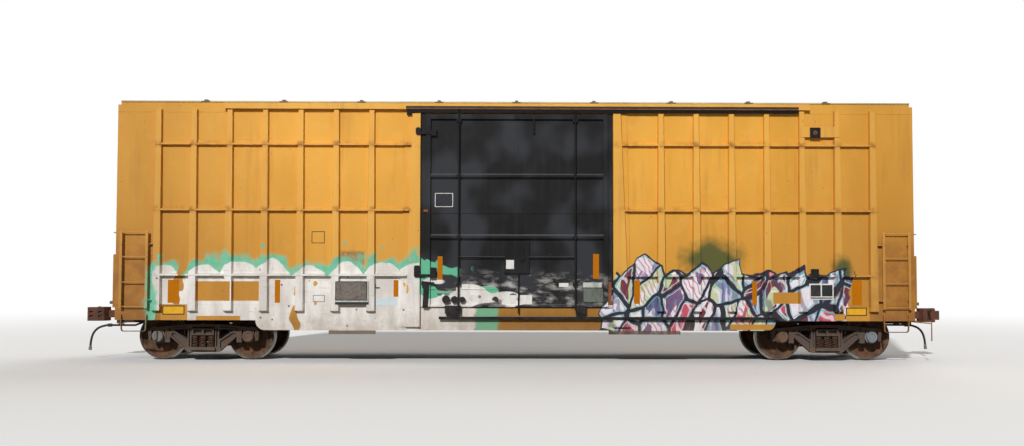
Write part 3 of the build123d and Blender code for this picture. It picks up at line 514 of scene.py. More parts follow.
def build_door_paint():
    """Round mint and chalk patches low on the door and its sill, thinning out to the right.

    Each kind of patch is where a smooth noise, less a bias that grows to the right and upwards,
    passes a threshold. Round bare dots break them low down and a thin chalk film lies beyond.
    """
    wiring, given, leave = start_group(
        "door paint", [("Place", "vector")], [("Colour", "colour"), ("Mask", "float")]
    )
    place = given["Place"]
    across, depth, up = wiring.split(place)
    rightward = wiring.fade(across, -1.7, 0.6, -0.17, 0.24)
    smooth = wiring.noise(wiring.scaled(place, (1.0, 1.0, 1.2), (2.0, 0.0, 0.4)), 1.5, 1.0, 0.3)
    other = wiring.noise(wiring.scaled(place, (0.8, 1.0, 1.7), (5.2, 0.0, 7.7)), 1.7, 1.0, 0.3)
    minty = wiring.less(smooth, wiring.fade(up, 1.60, 2.12, 0.0, 0.30))
    minty = wiring.fade(wiring.less(minty, rightward), 0.565, 0.580)
    chalky = wiring.less(other, wiring.fade(up, 1.30, 1.75, 0.0, 0.34))
    chalky = wiring.fade(wiring.less(chalky, rightward), 0.550, 0.585)
    flat_place = wiring.join(across, 0.0, up)
    dots = wiring.cells(flat_place, 4.2)
    spatter = wiring.times(
        wiring.falls(dots["Distance"], 0.20, 0.23),
        wiring.between(up, 1.62, 2.06, 0.06), wiring.falls(across, -1.0, -0.8),
        wiring.passes(wiring.split(dots["Color"])[0], 0.45),
    )
    holes = wiring.cells(flat_place, 5.6)
    bare = wiring.times(
        wiring.falls(holes["Distance"], 0.34, 0.38), wiring.between(up, 1.12, 1.34, 0.02),
        wiring.passes(wiring.split(holes["Color"])[1], 0.45),
    )
    film = wiring.patches(wiring.scaled(place, (1.0, 1.0, 2.2)), 2.6, 4.0, 0.62, 0.46, 0.72)
    filmed = wiring.times(wiring.between(across, -1.6, 1.70, 0.3), wiring.between(up, 1.08, 1.72, 0.14))
    film = wiring.times(film, filmed, 0.55)
    above_sill = wiring.fade(up, door_foot, door_foot + 0.015)
    on_door = wiring.times(wiring.between(across, door_left, door_right, 0.01), above_sill)
    ragged = wiring.line(wiring.noise(place, 6.0, 3.0, 0.6), 0.18, across)
    sill_chalk = wiring.times(wiring.between(ragged, door_left, -0.72, 0.02), 0.92)
    sill_mint = wiring.times(wiring.between(ragged, -0.72, -0.26, 0.03), 0.80)
    from_left = wiring.fade(across, door_left - 0.02, door_left + 0.02)
    on_sill = wiring.times(wiring.rest(above_sill), from_left)
    patches = wiring.times(wiring.most(minty, chalky, spatter), wiring.rest(bare))
    mask = wiring.most(
        wiring.times(wiring.most(patches, film), on_door),
        wiring.times(wiring.most(sill_chalk, sill_mint), on_sill),
    )
    chalk_share = wiring.most(
        wiring.times(wiring.most(chalky, wiring.times(film, wiring.rest(minty))), on_door),
        wiring.times(sill_chalk, on_sill),
    )
    chalk_share = wiring.times(wiring.passes(chalk_share, 0.02), wiring.rest(spatter))
    wiring.feed(leave.inputs["Colour"], wiring.mix(chalk_share, mint, chalk_tone(wiring, place)))
    wiring.feed(leave.inputs["Mask"], wiring.times(mask, wiring.near_side(depth)))
    return wiring.tree


# Green hazes behind the shards: centre, height, half width, half height
green_hazes = [(3.82, 1.98, 0.72, 0.50), (6.36, 1.78, 0.26, 0.42)]
shard_scale = 2.45


def build_shard_paint():
    """Leaning shards of lavender, wine, blush and pale green over the right part of the near side.

    The shards are cells about scattered points, in a place that leans and is bent by noise. Those
    whose centres lie low enough are painted, and so is a band whose crown is bent by the same
    noise. The distance to a cell's wall gives each a slate outline with a pale blue line inside it,
    and slanted waves give the brush strokes. Round hazes of green lie behind, each fading with the
    distance from its centre over its half sizes.
    """
    wiring, given, leave = start_group(
        "shard paint", [("Place", "vector")], [("Colour", "colour"), ("Mask", "float")]
    )
    place = given["Place"]
    across, depth, up = wiring.split(place)
    bent = wiring.split(wiring.clouds(wiring.join(across, 0.0, up), 1.7)["Color"])
    lean = wiring.line(up, -0.26, wiring.line(bent[0], 0.24, across))
    rise = wiring.line(bent[1], 0.16, wiring.times(up, 0.72))
    spot = wiring.join(lean, 0.0, rise)
    shards = wiring.cells(spot, shard_scale)
    wall = wiring.cells(spot, shard_scale, "DISTANCE_TO_EDGE")["Distance"]
    chance, other_chance, third_chance = wiring.split(shards["Color"])
    tones = [
        (0.00, colour(140, 140, 178)), (0.15, colour(230, 222, 230)), (0.31, colour(186, 194, 216)),
        (0.45, colour(196, 82, 100)), (0.54, colour(200, 208, 162)), (0.64, colour(112, 48, 60)),
        (0.74, colour(238, 228, 232)), (0.88, colour(92, 94, 132)),
    ]
    tone = wiring.steps(chance, tones)
    sweep = wiring.noise(wiring.scaled(spot, (1.0, 1.0, 0.55), (3.0, 0.0, 1.0)), 3.6, 1.0, 0.4)
    tone = wiring.mix(wiring.fade(sweep, 0.555, 0.570), tone, wiring.steps(other_chance, tones))
    tone = wiring.mix(wiring.falls(sweep, 0.425, 0.440), tone, wiring.steps(third_chance, tones))
    broad = wiring.waves(spot, 2.1, 7.0)
    pale_stroke = wiring.times(wiring.fade(broad, 0.80, 0.88), wiring.fade(bent[2], 0.46, 0.52))
    tone = wiring.coat(tone, pale_stroke, (240, 234, 238), 0.65)
    thin = wiring.waves(spot, 6.5, 4.0)
    hatched = wiring.times(wiring.fade(thin, 0.66, 0.86), wiring.passes(other_chance, 0.74))
    tone = wiring.coat(tone, hatched, (176, 60, 84), 0.60)
    shaded = wiring.times(wiring.falls(broad, 0.10, 0.24), wiring.under(other_chance, 0.50))
    tone = wiring.coat(tone, shaded, (70, 74, 106), 0.6)
    brushed = wiring.patches(wiring.scaled(spot, (1.0, 1.0, 0.25)), 16.0, 3.0, 0.6, 0.50, 0.72)
    tone = wiring.coat(tone, brushed, (208, 202, 214), 0.35)
    inner = wiring.times(wiring.between(wall, 0.070, 0.090, 0.006), wiring.fade(bent[0], 0.44, 0.47))
    tone = wiring.coat(tone, inner, (96, 184, 190))
    rim = wiring.times(wiring.between(wall, 0.090, 0.106, 0.004), wiring.passes(chance, 0.50))
    tone = wiring.coat(tone, rim, (236, 234, 236), 0.8)
    line_width = wiring.line(bent[2], 0.060, 0.026)
    outline = wiring.under(wall, line_width)
    tone = wiring.mix(outline, tone, slate)
    middle = wiring.split(shards["Position"])
    tall = wiring.times(
        wiring.under(middle[2], 1.36), wiring.falls(up, 2.14, 2.15),
        wiring.passes(middle[0], 1.50), wiring.under(middle[0], 6.10),
    )
    edge = wiring.line(bent[1], -0.9, across)
    crown = wiring.line(bent[0], 0.8, up)
    band = wiring.times(wiring.between(edge, 1.36, 6.02, 0.004), wiring.falls(crown, 2.140, 2.148))
    inside = wiring.most(tall, band)
    fringe = wiring.times(wiring.fade(crown, 2.085, 2.093), wiring.rest(tall), band)
    tone = wiring.mix(fringe, tone, slate)
    ragged = wiring.line(wiring.noise(place, 2.6, 3.0, 0.6), 0.9, -0.45)
    hazes = []
    for centre, height, half_width, half_height in green_hazes:
        aside = wiring.math("DIVIDE", wiring.less(across, centre), half_width)
        above = wiring.math("DIVIDE", wiring.less(up, height), half_height)
        spread = wiring.math("SQRT", wiring.line(aside, aside, wiring.times(above, above)))
        hazes.append(wiring.falls(wiring.math("ADD", spread, ragged), 0.45, 1.05))
    haze = wiring.times(wiring.most(*hazes), 0.90)
    wiring.feed(leave.inputs["Colour"], wiring.mix(inside, colour(50, 76, 40), tone))
    wiring.feed(leave.inputs["Mask"], wiring.times(wiring.most(inside, haze), wiring.near_side(depth)))
    return wiring.tree


fresh_paint = build_fresh_panels()
cloud_paint = build_cloud_paint()
door_paint = build_door_paint()
shard_paint = build_shard_paint()


class Finish(Wiring):
    """A material with one Principled shader, and the place that its patterns read."""

    def __init__(self, name):
        self.material = bpy.data.materials.new(name)
        self.material.use_nodes = True
        super().__init__(self.material.node_tree)
        self.shader = self.nodes["Principled BSDF"]
        self.place = self.add("ShaderNodeTexCoord").outputs["Object"]

    def surface(self, base, roughness, metallic=0.0, specular=0.5):
        """Feeds the shader with a base colour and how it shines."""
        self.feed(self.shader.inputs["Base Color"], base)
        self.feed(self.shader.inputs["Roughness"], roughness)
        self.feed(self.shader.inputs["Metallic"], metallic)
        self.shader.inputs["Specular IOR Level"].default_value = specular

    def relief(self, height, distance, strength=1.0, round_edges=None):
        """Raises the surface by a height map, over an edge rounding where a radius is given."""
        bump = self.add("ShaderNodeBump")
        bump.inputs["Distance"].default_value = distance
        bump.inputs["Strength"].default_value = strength
        self.feed(bump.inputs["Height"], height)
        if round_edges:
            rounded = self.add("ShaderNodeBevel", samples=4)
            rounded.inputs["Radius"].default_value = round_edges
            self.feed(bump.inputs["Normal"], rounded.outputs[0])
        self.feed(self.shader.inputs["Normal"], bump.outputs[0])

    def mask(self, tree, **values):
        """The mask of one of the groups above, at this material's own place."""
        return self.group(tree, Place=self.place, **values)["Mask"]

    def over_painted(self, base, fresh):
        """The base colour with the loose paint over it, and the fresh panels over that."""
        for paint in (cloud_paint, door_paint, shard_paint):
            covering = self.group(paint, Place=self.place)
            base = self.mix(covering["Mask"], base, covering["Colour"])
        near = self.near_side(self.split(self.place)[1])
        return self.mix(self.times(self.mask(fresh_paint), near), base, fresh)


def yellow_paint(name, bright, deep, covered):
    """Sun-bleached yellow-orange body paint, darker towards the foot, with painted shade towards the ends,
    chipped to rust.
    """
    finish = Finish(name)
    place = finish.place
    across, depth, up = finish.split(place)
    fading = finish.noise(finish.scaled(place, (1.0, 1.0, 0.35)), 0.9, 3.0, 0.55)
    base = finish.mix(finish.fade(fading, 0.34, 0.66), colour(*bright), colour(*deep))
    chalking = finish.patches(place, 3.1, 4.0, 0.6, 0.52, 0.72)
    base = finish.coat(base, chalking, (243, 186, 94), 0.30)
    from_middle = finish.positive(across)
    # Painted shade towards the ends of the car, and darker towards the foot
    ends = finish.fade(from_middle, 3.8, 7.7, 0.0, 0.40)
    end_shade_and_foot_darkening = finish.math("ADD", ends, finish.fade(up, 1.3, 4.5, 0.36, 0.0))
    base = finish.coat(base, end_shade_and_foot_darkening, (164, 112, 48))
    outer_end = finish.fade(from_middle, ladder_edge - 0.22, ladder_edge)
    by_ladder = finish.times(outer_end, finish.falls(up, 1.9, 2.8))
    grimy = finish.patches(place, 3.4, 4.0, 0.62, 0.34, 0.66, 0.30, 0.85)
    base = finish.coat(base, finish.times(by_ladder, grimy), (134, 82, 44), 0.76)
    # Faces that stand proud of the side sheet, such as the posts, are lighter: a painted highlight
    proud_highlight = finish.fade(finish.positive(depth), 1.535, 1.550)
    base = finish.coat(base, proud_highlight, (250, 196, 104), 0.22)
    # Brown grime and painted shade at the joints of the posts and stiffeners
    grimed_and_shaded = finish.mask(joint_grime_and_shade)
    base = finish.coat(base, grimed_and_shaded, (140, 76, 34), 0.66)
    run = finish.mask(streaks, Fineness=6.0, Amount=0.62)
    base = finish.coat(base, run, (158, 98, 52), 0.30)
    splashed = finish.patches(place, 4.0, 4.0, 0.65, 0.38, 0.70)
    low = finish.times(finish.falls(up, 0.75, 2.0), splashed)
    base = finish.coat(base, low, (140, 96, 50), 0.42)
    base = finish.coat(base, finish.fade(up, 0.72, 1.16, 0.40, 0.0), (112, 72, 36))
    if covered:
        under_door = finish.falls(up, 1.08, 1.12)
        in_doorway = finish.times(finish.between(across, door_left, door_right + 0.04), under_door)
        base = finish.coat(base, in_doorway, (122, 82, 38), 0.55)
        rubbed = finish.times(
            finish.between(across, -3.42, -2.96, 0.03), finish.between(up, 1.89, 2.16, 0.03),
            finish.patches(place, 14.0, 3.0, 0.7, 0.34, 0.46), finish.near_side(depth),
        )
        base = finish.coat(base, rubbed, (140, 112, 78), 0.85)
        fresh = finish.mix(finish.fade(fading, 0.4, 0.6), colour(202, 144, 56), colour(188, 132, 50))
        base = finish.over_painted(base, fresh)
        base = finish.coat(base, run, (110, 78, 52), 0.14)
        # Body paint below the sill's foot is darker: painted shade under the car
        base = finish.coat(base, finish.fade(up, sill_foot, sill_foot + 0.01, 0.85, 0.0), (74, 58, 44))
    else:
        from_seam = finish.from_row(across, roof_seam_pitch)
        over_eave = finish.fade(finish.positive(depth), 1.34, 1.42)
        outer = finish.times(over_eave, finish.falls(from_middle, 6.30, 6.40))
        seam_end = finish.times(finish.falls(from_seam, 0.075, 0.095), outer)
        base = finish.coat(base, seam_end, (72, 58, 44), 0.80)
    worn = finish.mask(edge_wear, Width=0.006, Patchiness=0.85)
    base = finish.coat(base, worn, (112, 72, 38), 0.55)
    spots = finish.mask(rust_spots, Size=0.045, Amount=0.10)
    base = finish.coat(base, spots, (86, 48, 28), 0.85)
    settled = finish.mask(dust, Low=0.5, High=1.0, Amount=0.35)
    base = finish.coat(base, settled, (142, 120, 92))
    rough = finish.patches(place, 6.0, 3.0, 0.6, 0.2, 0.8, 0.44, 0.64)
    finish.surface(base, finish.most(rough, finish.times(spots, 0.85)), specular=0.22)
    waves = finish.group(grain, Place=place, Fine=60.0, Coarse=1.9)["Height"]
    finish.relief(waves, 0.006, 0.55, round_edges=0.004)
    return finish.material


def black_paint(name, tone, faded_and_sheen, covered):
    """Satin black paint: dusty and streaked, with bare and rusty edges."""
    finish = Finish(name)
    place = finish.place
    run = finish.mask(streaks, Fineness=9.0, Amount=0.70)
    # Clouds of faded paint, partly a painted sheen
    clouding_and_sheen = finish.patches(finish.scaled(place, (1.0, 1.0, 0.8)), 1.25, 2.0, 0.45, 0.40, 0.62)
    base = finish.coat(colour(*tone), clouding_and_sheen, faded_and_sheen)
    base = finish.coat(base, run, (62, 61, 63), 0.22)
    # Faces that look upwards are lighter: a painted sheen, as on the tops of the ribs
    facing = finish.split(finish.add("ShaderNodeNewGeometry").outputs["Normal"])[2]
    base = finish.coat(base, finish.fade(facing, 0.15, 0.70, 0.0, 0.65), (98, 98, 101))
    settled = finish.mask(dust, Low=1.0, High=1.9, Amount=0.22)
    base = finish.coat(base, settled, (86, 80, 76))
    under_lip = finish.between(finish.split(place)[2], shade_foot, shade_head, 0.006)
    base = finish.coat(base, under_lip, (2, 2, 2), 0.94)
    if covered:
        base = finish.over_painted(base, colour(*tone))
    worn = finish.mask(edge_wear, Width=0.005, Patchiness=0.9)
    base = finish.coat(base, worn, (92, 88, 84), 0.5)
    spots = finish.mask(rust_spots, Size=0.05, Amount=0.14)
    base = finish.coat(base, spots, (88, 52, 34), 0.8)
    rough = finish.patches(place, 5.0, 3.0, 0.6, 0.2, 0.8, 0.34, 0.54)
    finish.surface(base, rough, specular=0.12)
    waves = finish.group(grain, Place=place, Fine=70.0, Coarse=2.2)["Height"]
    finish.relief(waves, 0.005, 0.5, round_edges=0.004)
    return finish.material


def cast_metal(name, metal, rust, rust_amount, dust_tone, dust_amount, coarse, ring_radius):
    """Rough cast or forged steel, rusted in patches, dusty on top, with its bearing rings painted."""
    finish = Finish(name)
    place = finish.place
    patches = finish.noise(place, 7.0, 5.0, 0.65)
    base = finish.coat(colour(*metal), finish.fade(patches, 0.58 - rust_amount, 0.70 - rust_amount), rust)
    if ring_radius:
        rings = finish.group(axle_rings, Place=place)
        outermost = finish.fade(finish.positive(finish.split(place)[1]), 1.06, 1.07)
        on_ring = finish.fade(rings["Radius"], ring_radius - 0.003, ring_radius + 0.003, 0.9, 0.0)
        base = finish.mix(finish.times(outermost, on_ring), base, rings["Colour"])
    speckle = finish.patches(place, 60.0, 3.0, 0.7, 0.50, 0.72)
    base = finish.coat(base, speckle, (58, 40, 30), 0.35)
    worn = finish.mask(edge_wear, Width=0.004, Patchiness=0.7)
    base = finish.coat(base, worn, (126, 112, 98), 0.5)
    settled = finish.mask(dust, Low=0.05, High=0.55, Amount=dust_amount)
    base = finish.coat(base, settled, dust_tone)
    finish.surface(base, finish.fade(patches, 0.3, 0.7, 0.62, 0.88), specular=0.3)
    pits = finish.group(grain, Place=place, Fine=140.0, Coarse=coarse)["Height"]
    finish.relief(pits, 0.004, 0.6, round_edges=0.004)
    return finish.material


def wheel_finish():
    """Rusty wheel plate, a darker rim and a tread and flange polished by the rail."""
    finish = Finish("wheel_steel")
    place = finish.place
    radius = finish.group(axle_rings, Place=place)["Radius"]
    patches = finish.noise(place, 6.0, 5.0, 0.65)
    base = finish.mix(finish.fade(patches, 0.40, 0.62), colour(104, 68, 44), colour(64, 44, 32))
    rim_tone = finish.mix(finish.fade(patches, 0.42, 0.6), colour(98, 82, 70), colour(72, 54, 44))
    base = finish.mix(finish.fade(radius, 0.390, 0.402), base, rim_tone)
    polished = finish.fade(finish.line(patches, 0.004, radius), 0.4500, 0.4535)
    base = finish.coat(base, polished, (186, 180, 172))
    grease = finish.fade(radius, 0.15, 0.26, 0.7, 0.0)
    base = finish.coat(base, grease, (42, 35, 30))
    settled = finish.mask(dust, Low=0.0, High=0.9, Amount=0.22)
    base = finish.coat(base, finish.times(settled, finish.rest(polished)), (130, 104, 80))
    rough = finish.line(polished, -0.40, finish.fade(patches, 0.3, 0.7, 0.66, 0.84))
    finish.surface(base, rough, finish.times(polished, 0.85), specular=0.3)
    pits = finish.group(grain, Place=place, Fine=120.0, Coarse=22.0)["Height"]
    finish.relief(pits, 0.003, 0.45, round_edges=0.003)
    return finish.material


def board_finish():
    """Grey-tan weathered board with staple marks and a fine fibrous grain."""
    finish = Finish("board_paint")
    place = finish.place
    fibre = finish.noise(finish.scaled(place, (1.0, 1.0, 3.0)), 34.0, 5.0, 0.7)
    base = finish.mix(finish.fade(fibre, 0.35, 0.65), colour(104, 94, 88), colour(134, 124, 116))
    stain = finish.patches(place, 5.0, 4.0, 0.6, 0.46, 0.66)
    base = finish.coat(base, stain, (82, 72, 66), 0.5)
    mottled = finish.patches(place, 21.0, 3.0, 0.6, 0.54, 0.62)
    base = finish.coat(base, mottled, (62, 56, 54), 0.50)
    marks = finish.falls(finish.cells(place, 24.0)["Distance"], 0.14, 0.20)
    base = finish.coat(base, marks, (52, 47, 44), 0.6)
    finish.surface(base, 0.85)
    finish.relief(fibre, 0.002, 0.6)
    return finish.material


def platform_finish():
    """Dull steel walkway with a raised diamond tread."""
    finish = Finish("platform_steel")
    place = finish.place
    tread = finish.cells(finish.scaled(place, (1.0, 0.5, 1.0)), 52.0)["Distance"]
    lifted = finish.falls(tread, 0.22, 0.34)
    base = finish.mix(lifted, colour(84, 76, 68), colour(102, 95, 88))
    patches = finish.patches(place, 5.0, 4.0, 0.6, 0.46, 0.64)
    base = finish.coat(base, patches, (106, 68, 44), 0.7)
    finish.surface(base, finish.fade(patches, 0.0, 1.0, 0.48, 0.80), 0.35)
    finish.relief(lifted, 0.003, 0.7)
    return finish.material


def rubber_finish():
    """Matte black hose rubber with a cloth wrap weave and grey dust."""
    finish = Finish("hose_rubber")
    place = finish.place
    weave = finish.waves(place, 60.0, 1.5, "Z")
    dusty = finish.patches(place, 22.0, 3.0, 0.6, 0.42, 0.72)
    base = finish.mix(finish.times(dusty, 0.6), colour(26, 25, 25), colour(80, 74, 68))
    finish.surface(base, finish.fade(dusty, 0.0, 1.0, 0.62, 0.90), specular=0.3)
    finish.relief(weave, 0.0012, 0.5)
    return finish.material


def reflector_finish():
    """Amber prism strip: a fine honeycomb under a clear face, dirty along its edges."""
    finish = Finish("amber_strip")
    place = finish.place
    comb = finish.cells(place, 150.0)["Distance"]
    base = finish.mix(finish.fade(comb, 0.2, 0.6), colour(205, 126, 0), colour(180, 104, 0))
    dirty = finish.patches(place, 9.0, 4.0, 0.65, 0.50, 0.75)
    base = finish.coat(base, dirty, (140, 84, 8), 0.40)
    finish.surface(base, finish.fade(dirty, 0.0, 1.0, 0.26, 0.55), specular=0.12)
    finish.relief(comb, 0.0006, 0.35)
    return finish.material


def plate_finish(name, paint, stain, amount, roughness):
    """A blank painted plate or decal, stained by rain and rubbed at its edges."""
    finish = Finish(name)
    place = finish.place
    dirty = finish.patches(finish.scaled(place, (1.0, 1.0, 0.5)), 8.0, 5.0, 0.65, 0.42, 0.74)
    base = finish.coat(colour(*paint), dirty, stain, amount)
    scratch = finish.patches(finish.scaled(place, (0.4, 1.0, 3.0)), 30.0, 3.0, 0.6, 0.66, 0.72)
    base = finish.coat(base, scratch, stain, 0.4)
    finish.surface(base, finish.fade(dirty, 0.0, 1.0, roughness, roughness + 0.2), specular=0.3)
    finish.relief(finish.noise(place, 45.0), 0.001, 0.3)
    return finish.material


dusty_grey = (128, 110, 92)
# columns: name, metal, rust, how much of it, dust, how much of it, coarse grain, radius of a painted ring
castings = [
    ("under_paint", (52, 45, 40), (76, 52, 38), 0.10, (100, 86, 72), 0.45, 9.0, None),
    ("truck_cast", (86, 74, 66), (104, 76, 58), 0.06, dusty_grey, 0.45, 26.0, 0.129),
    ("spring_steel", (74, 56, 46), (88, 54, 38), 0.10, dusty_grey, 0.22, 26.0, None),
    ("axle_steel", (96, 88, 82), (100, 72, 54), 0.02, dusty_grey, 0.30, 26.0, 0.110),
    ("coupler_cast", (78, 52, 42), (104, 62, 44), 0.14, dusty_grey, 0.25, 26.0, None),
    ("gladhand_cast", (124, 120, 114), (98, 74, 58), 0.02, dusty_grey, 0.30, 26.0, None),
    ("rusty_steel", (128, 76, 44), (168, 92, 48), 0.12, dusty_grey, 0.25, 26.0, None),
]
# columns: name, paint, stain, how much of it, roughness
plate_paints = [
    ("label_yellow", (230, 172, 22), (170, 122, 30), 0.35, 0.50),
    ("label_white", (228, 226, 220), (160, 150, 138), 0.45, 0.50),
    ("label_black", (22, 22, 24), (80, 75, 70), 0.35, 0.50),
    ("cover_grey", (104, 112, 102), (58, 62, 58), 0.70, 0.35),
    ("cover_pale", (196, 200, 190), (104, 106, 98), 0.65, 0.40),
    ("tape_pale", (206, 220, 224), (176, 170, 160), 0.35, 0.50),
    # A dark brown that is painted shade for the upper track's cap, and a lighter brown that is a painted
    # highlight for its rusty lip
    ("track_shade", (30, 18, 12), (66, 40, 22), 0.50, 0.50),
    ("lip_brown", (132, 88, 56), (84, 50, 28), 0.60, 0.70),
]
finishes = {
    "body_paint": yellow_paint("body_paint", (241, 177, 70), (228, 164, 58), covered=True),
    "roof_paint": yellow_paint("roof_paint", (210, 200, 158), (188, 176, 138), covered=False),
    "door_black": black_paint("door_black", (19, 19, 20), (50, 51, 55), covered=True),
    "gear_black": black_paint("gear_black", (16, 16, 17), (30, 29, 30), covered=False),
    "platform_steel": platform_finish(),
    "board_paint": board_finish(),
    "wheel_steel": wheel_finish(),
    "hose_rubber": rubber_finish(),
    "amber_strip": reflector_finish(),
}
for row in castings:
    finishes[row[0]] = cast_metal(*row)
for row in plate_paints:
    finishes[row[0]] = plate_finish(*row)
for row in frame["record"]["subparts"]:
    solid = frame["nodes"][row["node"]]
    solid.data.materials.clear()
    solid.data.materials.append(finishes[row["material_slot"]])


def put(name, shape, finish, body="carbody", smooth=False):
    """Makes a mesh of a (points, faces) shape with its finish and ties it to its body."""
    points, faces = shape
    mesh = bpy.data.meshes.new(name)
    mesh.from_pydata(np.asarray(points, float).tolist(), [], faces)
    mesh.materials.append(finishes[finish])
    mesh.polygons.foreach_set("use_smooth", np.full(len(mesh.polygons), smooth))
    mesh.update()
    piece = bpy.data.objects.new(name, mesh)
    bpy.context.collection.objects.link(piece)
    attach(piece, body)
    return piece


def grid_faces(rows, columns, closed=True):
    """Quads over a rows x columns grid of points; closed joins the last column to the first."""
    row = np.arange(rows - 1)[:, None] * columns
    column = np.arange(columns if closed else columns - 1)[None, :]
    after = (column + 1) % columns
    corners = [row + column, row + after, row + columns + after, row + columns + column]
    return np.stack(np.broadcast_arrays(*corners), axis=-1).reshape(-1, 4)


def gathered(shapes):
    """Several (points, faces) shapes as one, with their faces renumbered."""
    points, faces, count = [], [], 0
    for shape_points, shape_faces in shapes:
        points.append(shape_points)
        faces += [[corner + count for corner in face] for face in shape_faces]
        count += len(shape_points)
    return np.concatenate(points), faces


def half_turned(shape):
    """A (points, faces) shape carried to the far side, half a turn about the vertical."""
    points, faces = shape
    return np.asarray(points) * np.array([-1.0, -1.0, 1.0]), faces


def both_sides(shape):
    """A near-side shape and the same one on the far side, as one."""
    return gathered([shape, half_turned(shape)])


def put_near_and_far(name, shape, finish, smooth=False):
    """A near-side shape and the same one on the far side, as two pieces of the car body."""
    put(name + "_near", shape, finish, smooth=smooth)
    put(name + "_far", half_turned(shape), finish, smooth=smooth)


def coil(centre, bottom, top, coil_radius, wire_radius, turns, steps=18, around=7):
    """A coil spring: a circle of wire carried along a helix whose pitch closes at both ends.

    The angle runs evenly along the wire, and the height climbs with it, less a sine that slows the
    climb at both ends. The wire's circle lies in the upright plane through the coil's own axis.
    """
    rows = int(turns * steps) + 1
    share = np.linspace(0.0, 1.0, rows)
    angle = 2.0 * np.pi * turns * share
    slowing = 0.35
    climb = share - np.sin(2.0 * np.pi * share) / (2.0 * np.pi) * slowing
    height = bottom + wire_radius + (top - bottom - 2.0 * wire_radius) * climb
    out = np.stack([np.cos(angle), np.sin(angle), np.zeros(rows)], axis=1)
    line = coil_radius * out + np.stack([np.full(rows, centre[0]), np.full(rows, centre[1]), height], axis=1)
    turn = np.linspace(0.0, 2.0 * np.pi, around, endpoint=False)
    upward = np.array([0.0, 0.0, 1.0])
    ring = out[:, None, :] * np.cos(turn)[None, :, None] + upward * np.sin(turn)[None, :, None]
    points = line[:, None, :] + wire_radius * ring
    faces = grid_faces(rows, around)[:, ::-1].tolist()
    faces.append(list(range(around)))
    faces.append(list(range((rows - 1) * around, rows * around))[::-1])
    return points.reshape(-1, 3), faces


def heads(places, outward, radius, height, sides=8):
    """Bolt or rivet heads: rings that shrink from the foot to the crown, one set at every place.

    Each ring is a circle in the plane across outward. The first two have the full radius, and the
    lower one is sunk a little below the face. The shoulder is narrower and lies near the top, and
    a flat crown about a third as wide closes the head.
    """
    places = np.asarray(places, float).reshape(-1, 3)
    outward = np.asarray(outward, float) / np.linalg.norm(outward)
    helper = np.array([0.0, 0.0, 1.0]) if abs(outward[2]) < 0.9 else np.array([1.0, 0.0, 0.0])
    first = np.cross(outward, helper)
    first /= np.linalg.norm(first)
    second = np.cross(outward, first)
    angle = np.linspace(0.0, 2.0 * np.pi, sides, endpoint=False)
    circle = np.cos(angle)[:, None] * first + np.sin(angle)[:, None] * second
    # columns: share of the radius, share of the height
    levels = np.array([(1.0, -0.10), (1.0, 0.45), (0.86, 0.85), (0.34, 1.0)])
    rings = levels[:, 0, None, None] * radius * circle + levels[:, 1, None, None] * height * outward
    points = places[:, None, None, :] + rings[None]
    size = len(levels) * sides
    crown = list(range(size - sides, size))[::-1]
    one = [face[::-1] for face in grid_faces(len(levels), sides).tolist()] + [crown]
    faces = [[corner + size * number for corner in face] for number in range(len(places)) for face in one]
    return points.reshape(-1, 3), faces


def spaced(start, stop, count):
    """count places in a row between two points."""
    return np.linspace(np.asarray(start, float), np.asarray(stop, float), count)


def on_circle(centre_across, face, centre_up, radius, angle):
    """Places on a circle in an upright plane along the car."""
    across, up = centre_across + radius * np.cos(angle), centre_up + radius * np.sin(angle)
    return np.stack([across, np.full(len(angle), face), up], axis=1)


def plate(left, right, foot, head, face, thickness, corner=0.008, bevel=0.0012):
    """A thin plate on the near side with round corners and a bevelled front edge.

    The outline is a rectangle whose corners are quarter circles. It is carried outwards for the
    edge and then drawn in by the bevel, and one face closes the front.
    """
    quarter = np.linspace(0.0, np.pi / 2.0, 5)
    near, far, low, high = left + corner, right - corner, foot + corner, head - corner
    arcs = []
    for turn, (across, up) in enumerate(((far, high), (near, high), (near, low), (far, low))):
        angle = quarter + turn * np.pi / 2
        arcs.append(np.stack([across + corner * np.cos(angle), up + corner * np.sin(angle)], axis=1))
    outline = np.concatenate(arcs)
    middle = np.array([(left + right) / 2.0, (foot + head) / 2.0])
    inward = np.sign(outline - middle) * bevel
    rings = []
    for flat, depth in ((outline, 0.0), (outline, thickness - bevel), (outline - inward, thickness)):
        rings.append(np.stack([flat[:, 0], np.full(len(flat), -face - depth), flat[:, 1]], axis=1))
    count = len(outline)
    faces = grid_faces(len(rings), count).tolist()
    faces.append(list(range(2 * count, 3 * count))[::-1])
    return np.concatenate(rings), faces


def frame_ring(left, right, foot, head, width, face, thickness):
    """A raised rectangular line: four thin plates that meet at the corners."""
    sides = [
        (left, right, head - width, head), (left, right, foot, foot + width),
        (left, left + width, foot + width, head - width), (right - width, right, foot + width, head - width),
    ]
    return gathered([plate(*side, face, thickness, width * 0.3, thickness * 0.3) for side in sides])


def bead(start, stop, radius, outward, steps=160):
    """A weld bead: a half circle along a line, whose radius ripples as the weld was laid."""
    line = spaced(start, stop, steps)
    along = np.linspace(0.0, 1.0, steps)
    rng = np.random.default_rng(7)
    ripple = radius * (1.0 + 0.15 * np.sin(along * steps * 1.7) + 0.12 * rng.standard_normal(steps))
    direction = (line[-1] - line[0]) / np.linalg.norm(line[-1] - line[0])
    outward = np.asarray(outward, float)
    side = np.cross(outward, direction)
    angle = np.linspace(0.0, np.pi, 6)
    arc = np.cos(angle)[:, None] * side + np.sin(angle)[:, None] * outward
    points = line[:, None, :] + ripple[:, None, None] * arc[None]
    return points.reshape(-1, 3), grid_faces(steps, len(angle), closed=False).tolist()


# Coil springs in place of the plain spring solids: two rows of nested coils a side, a thinner row between
spring_bottom, spring_top = rail + 0.205, rail + 0.480
spring_places, spring_row = (-0.160, 0.0, 0.160), 0.068
middle_places = (-0.080, 0.080)
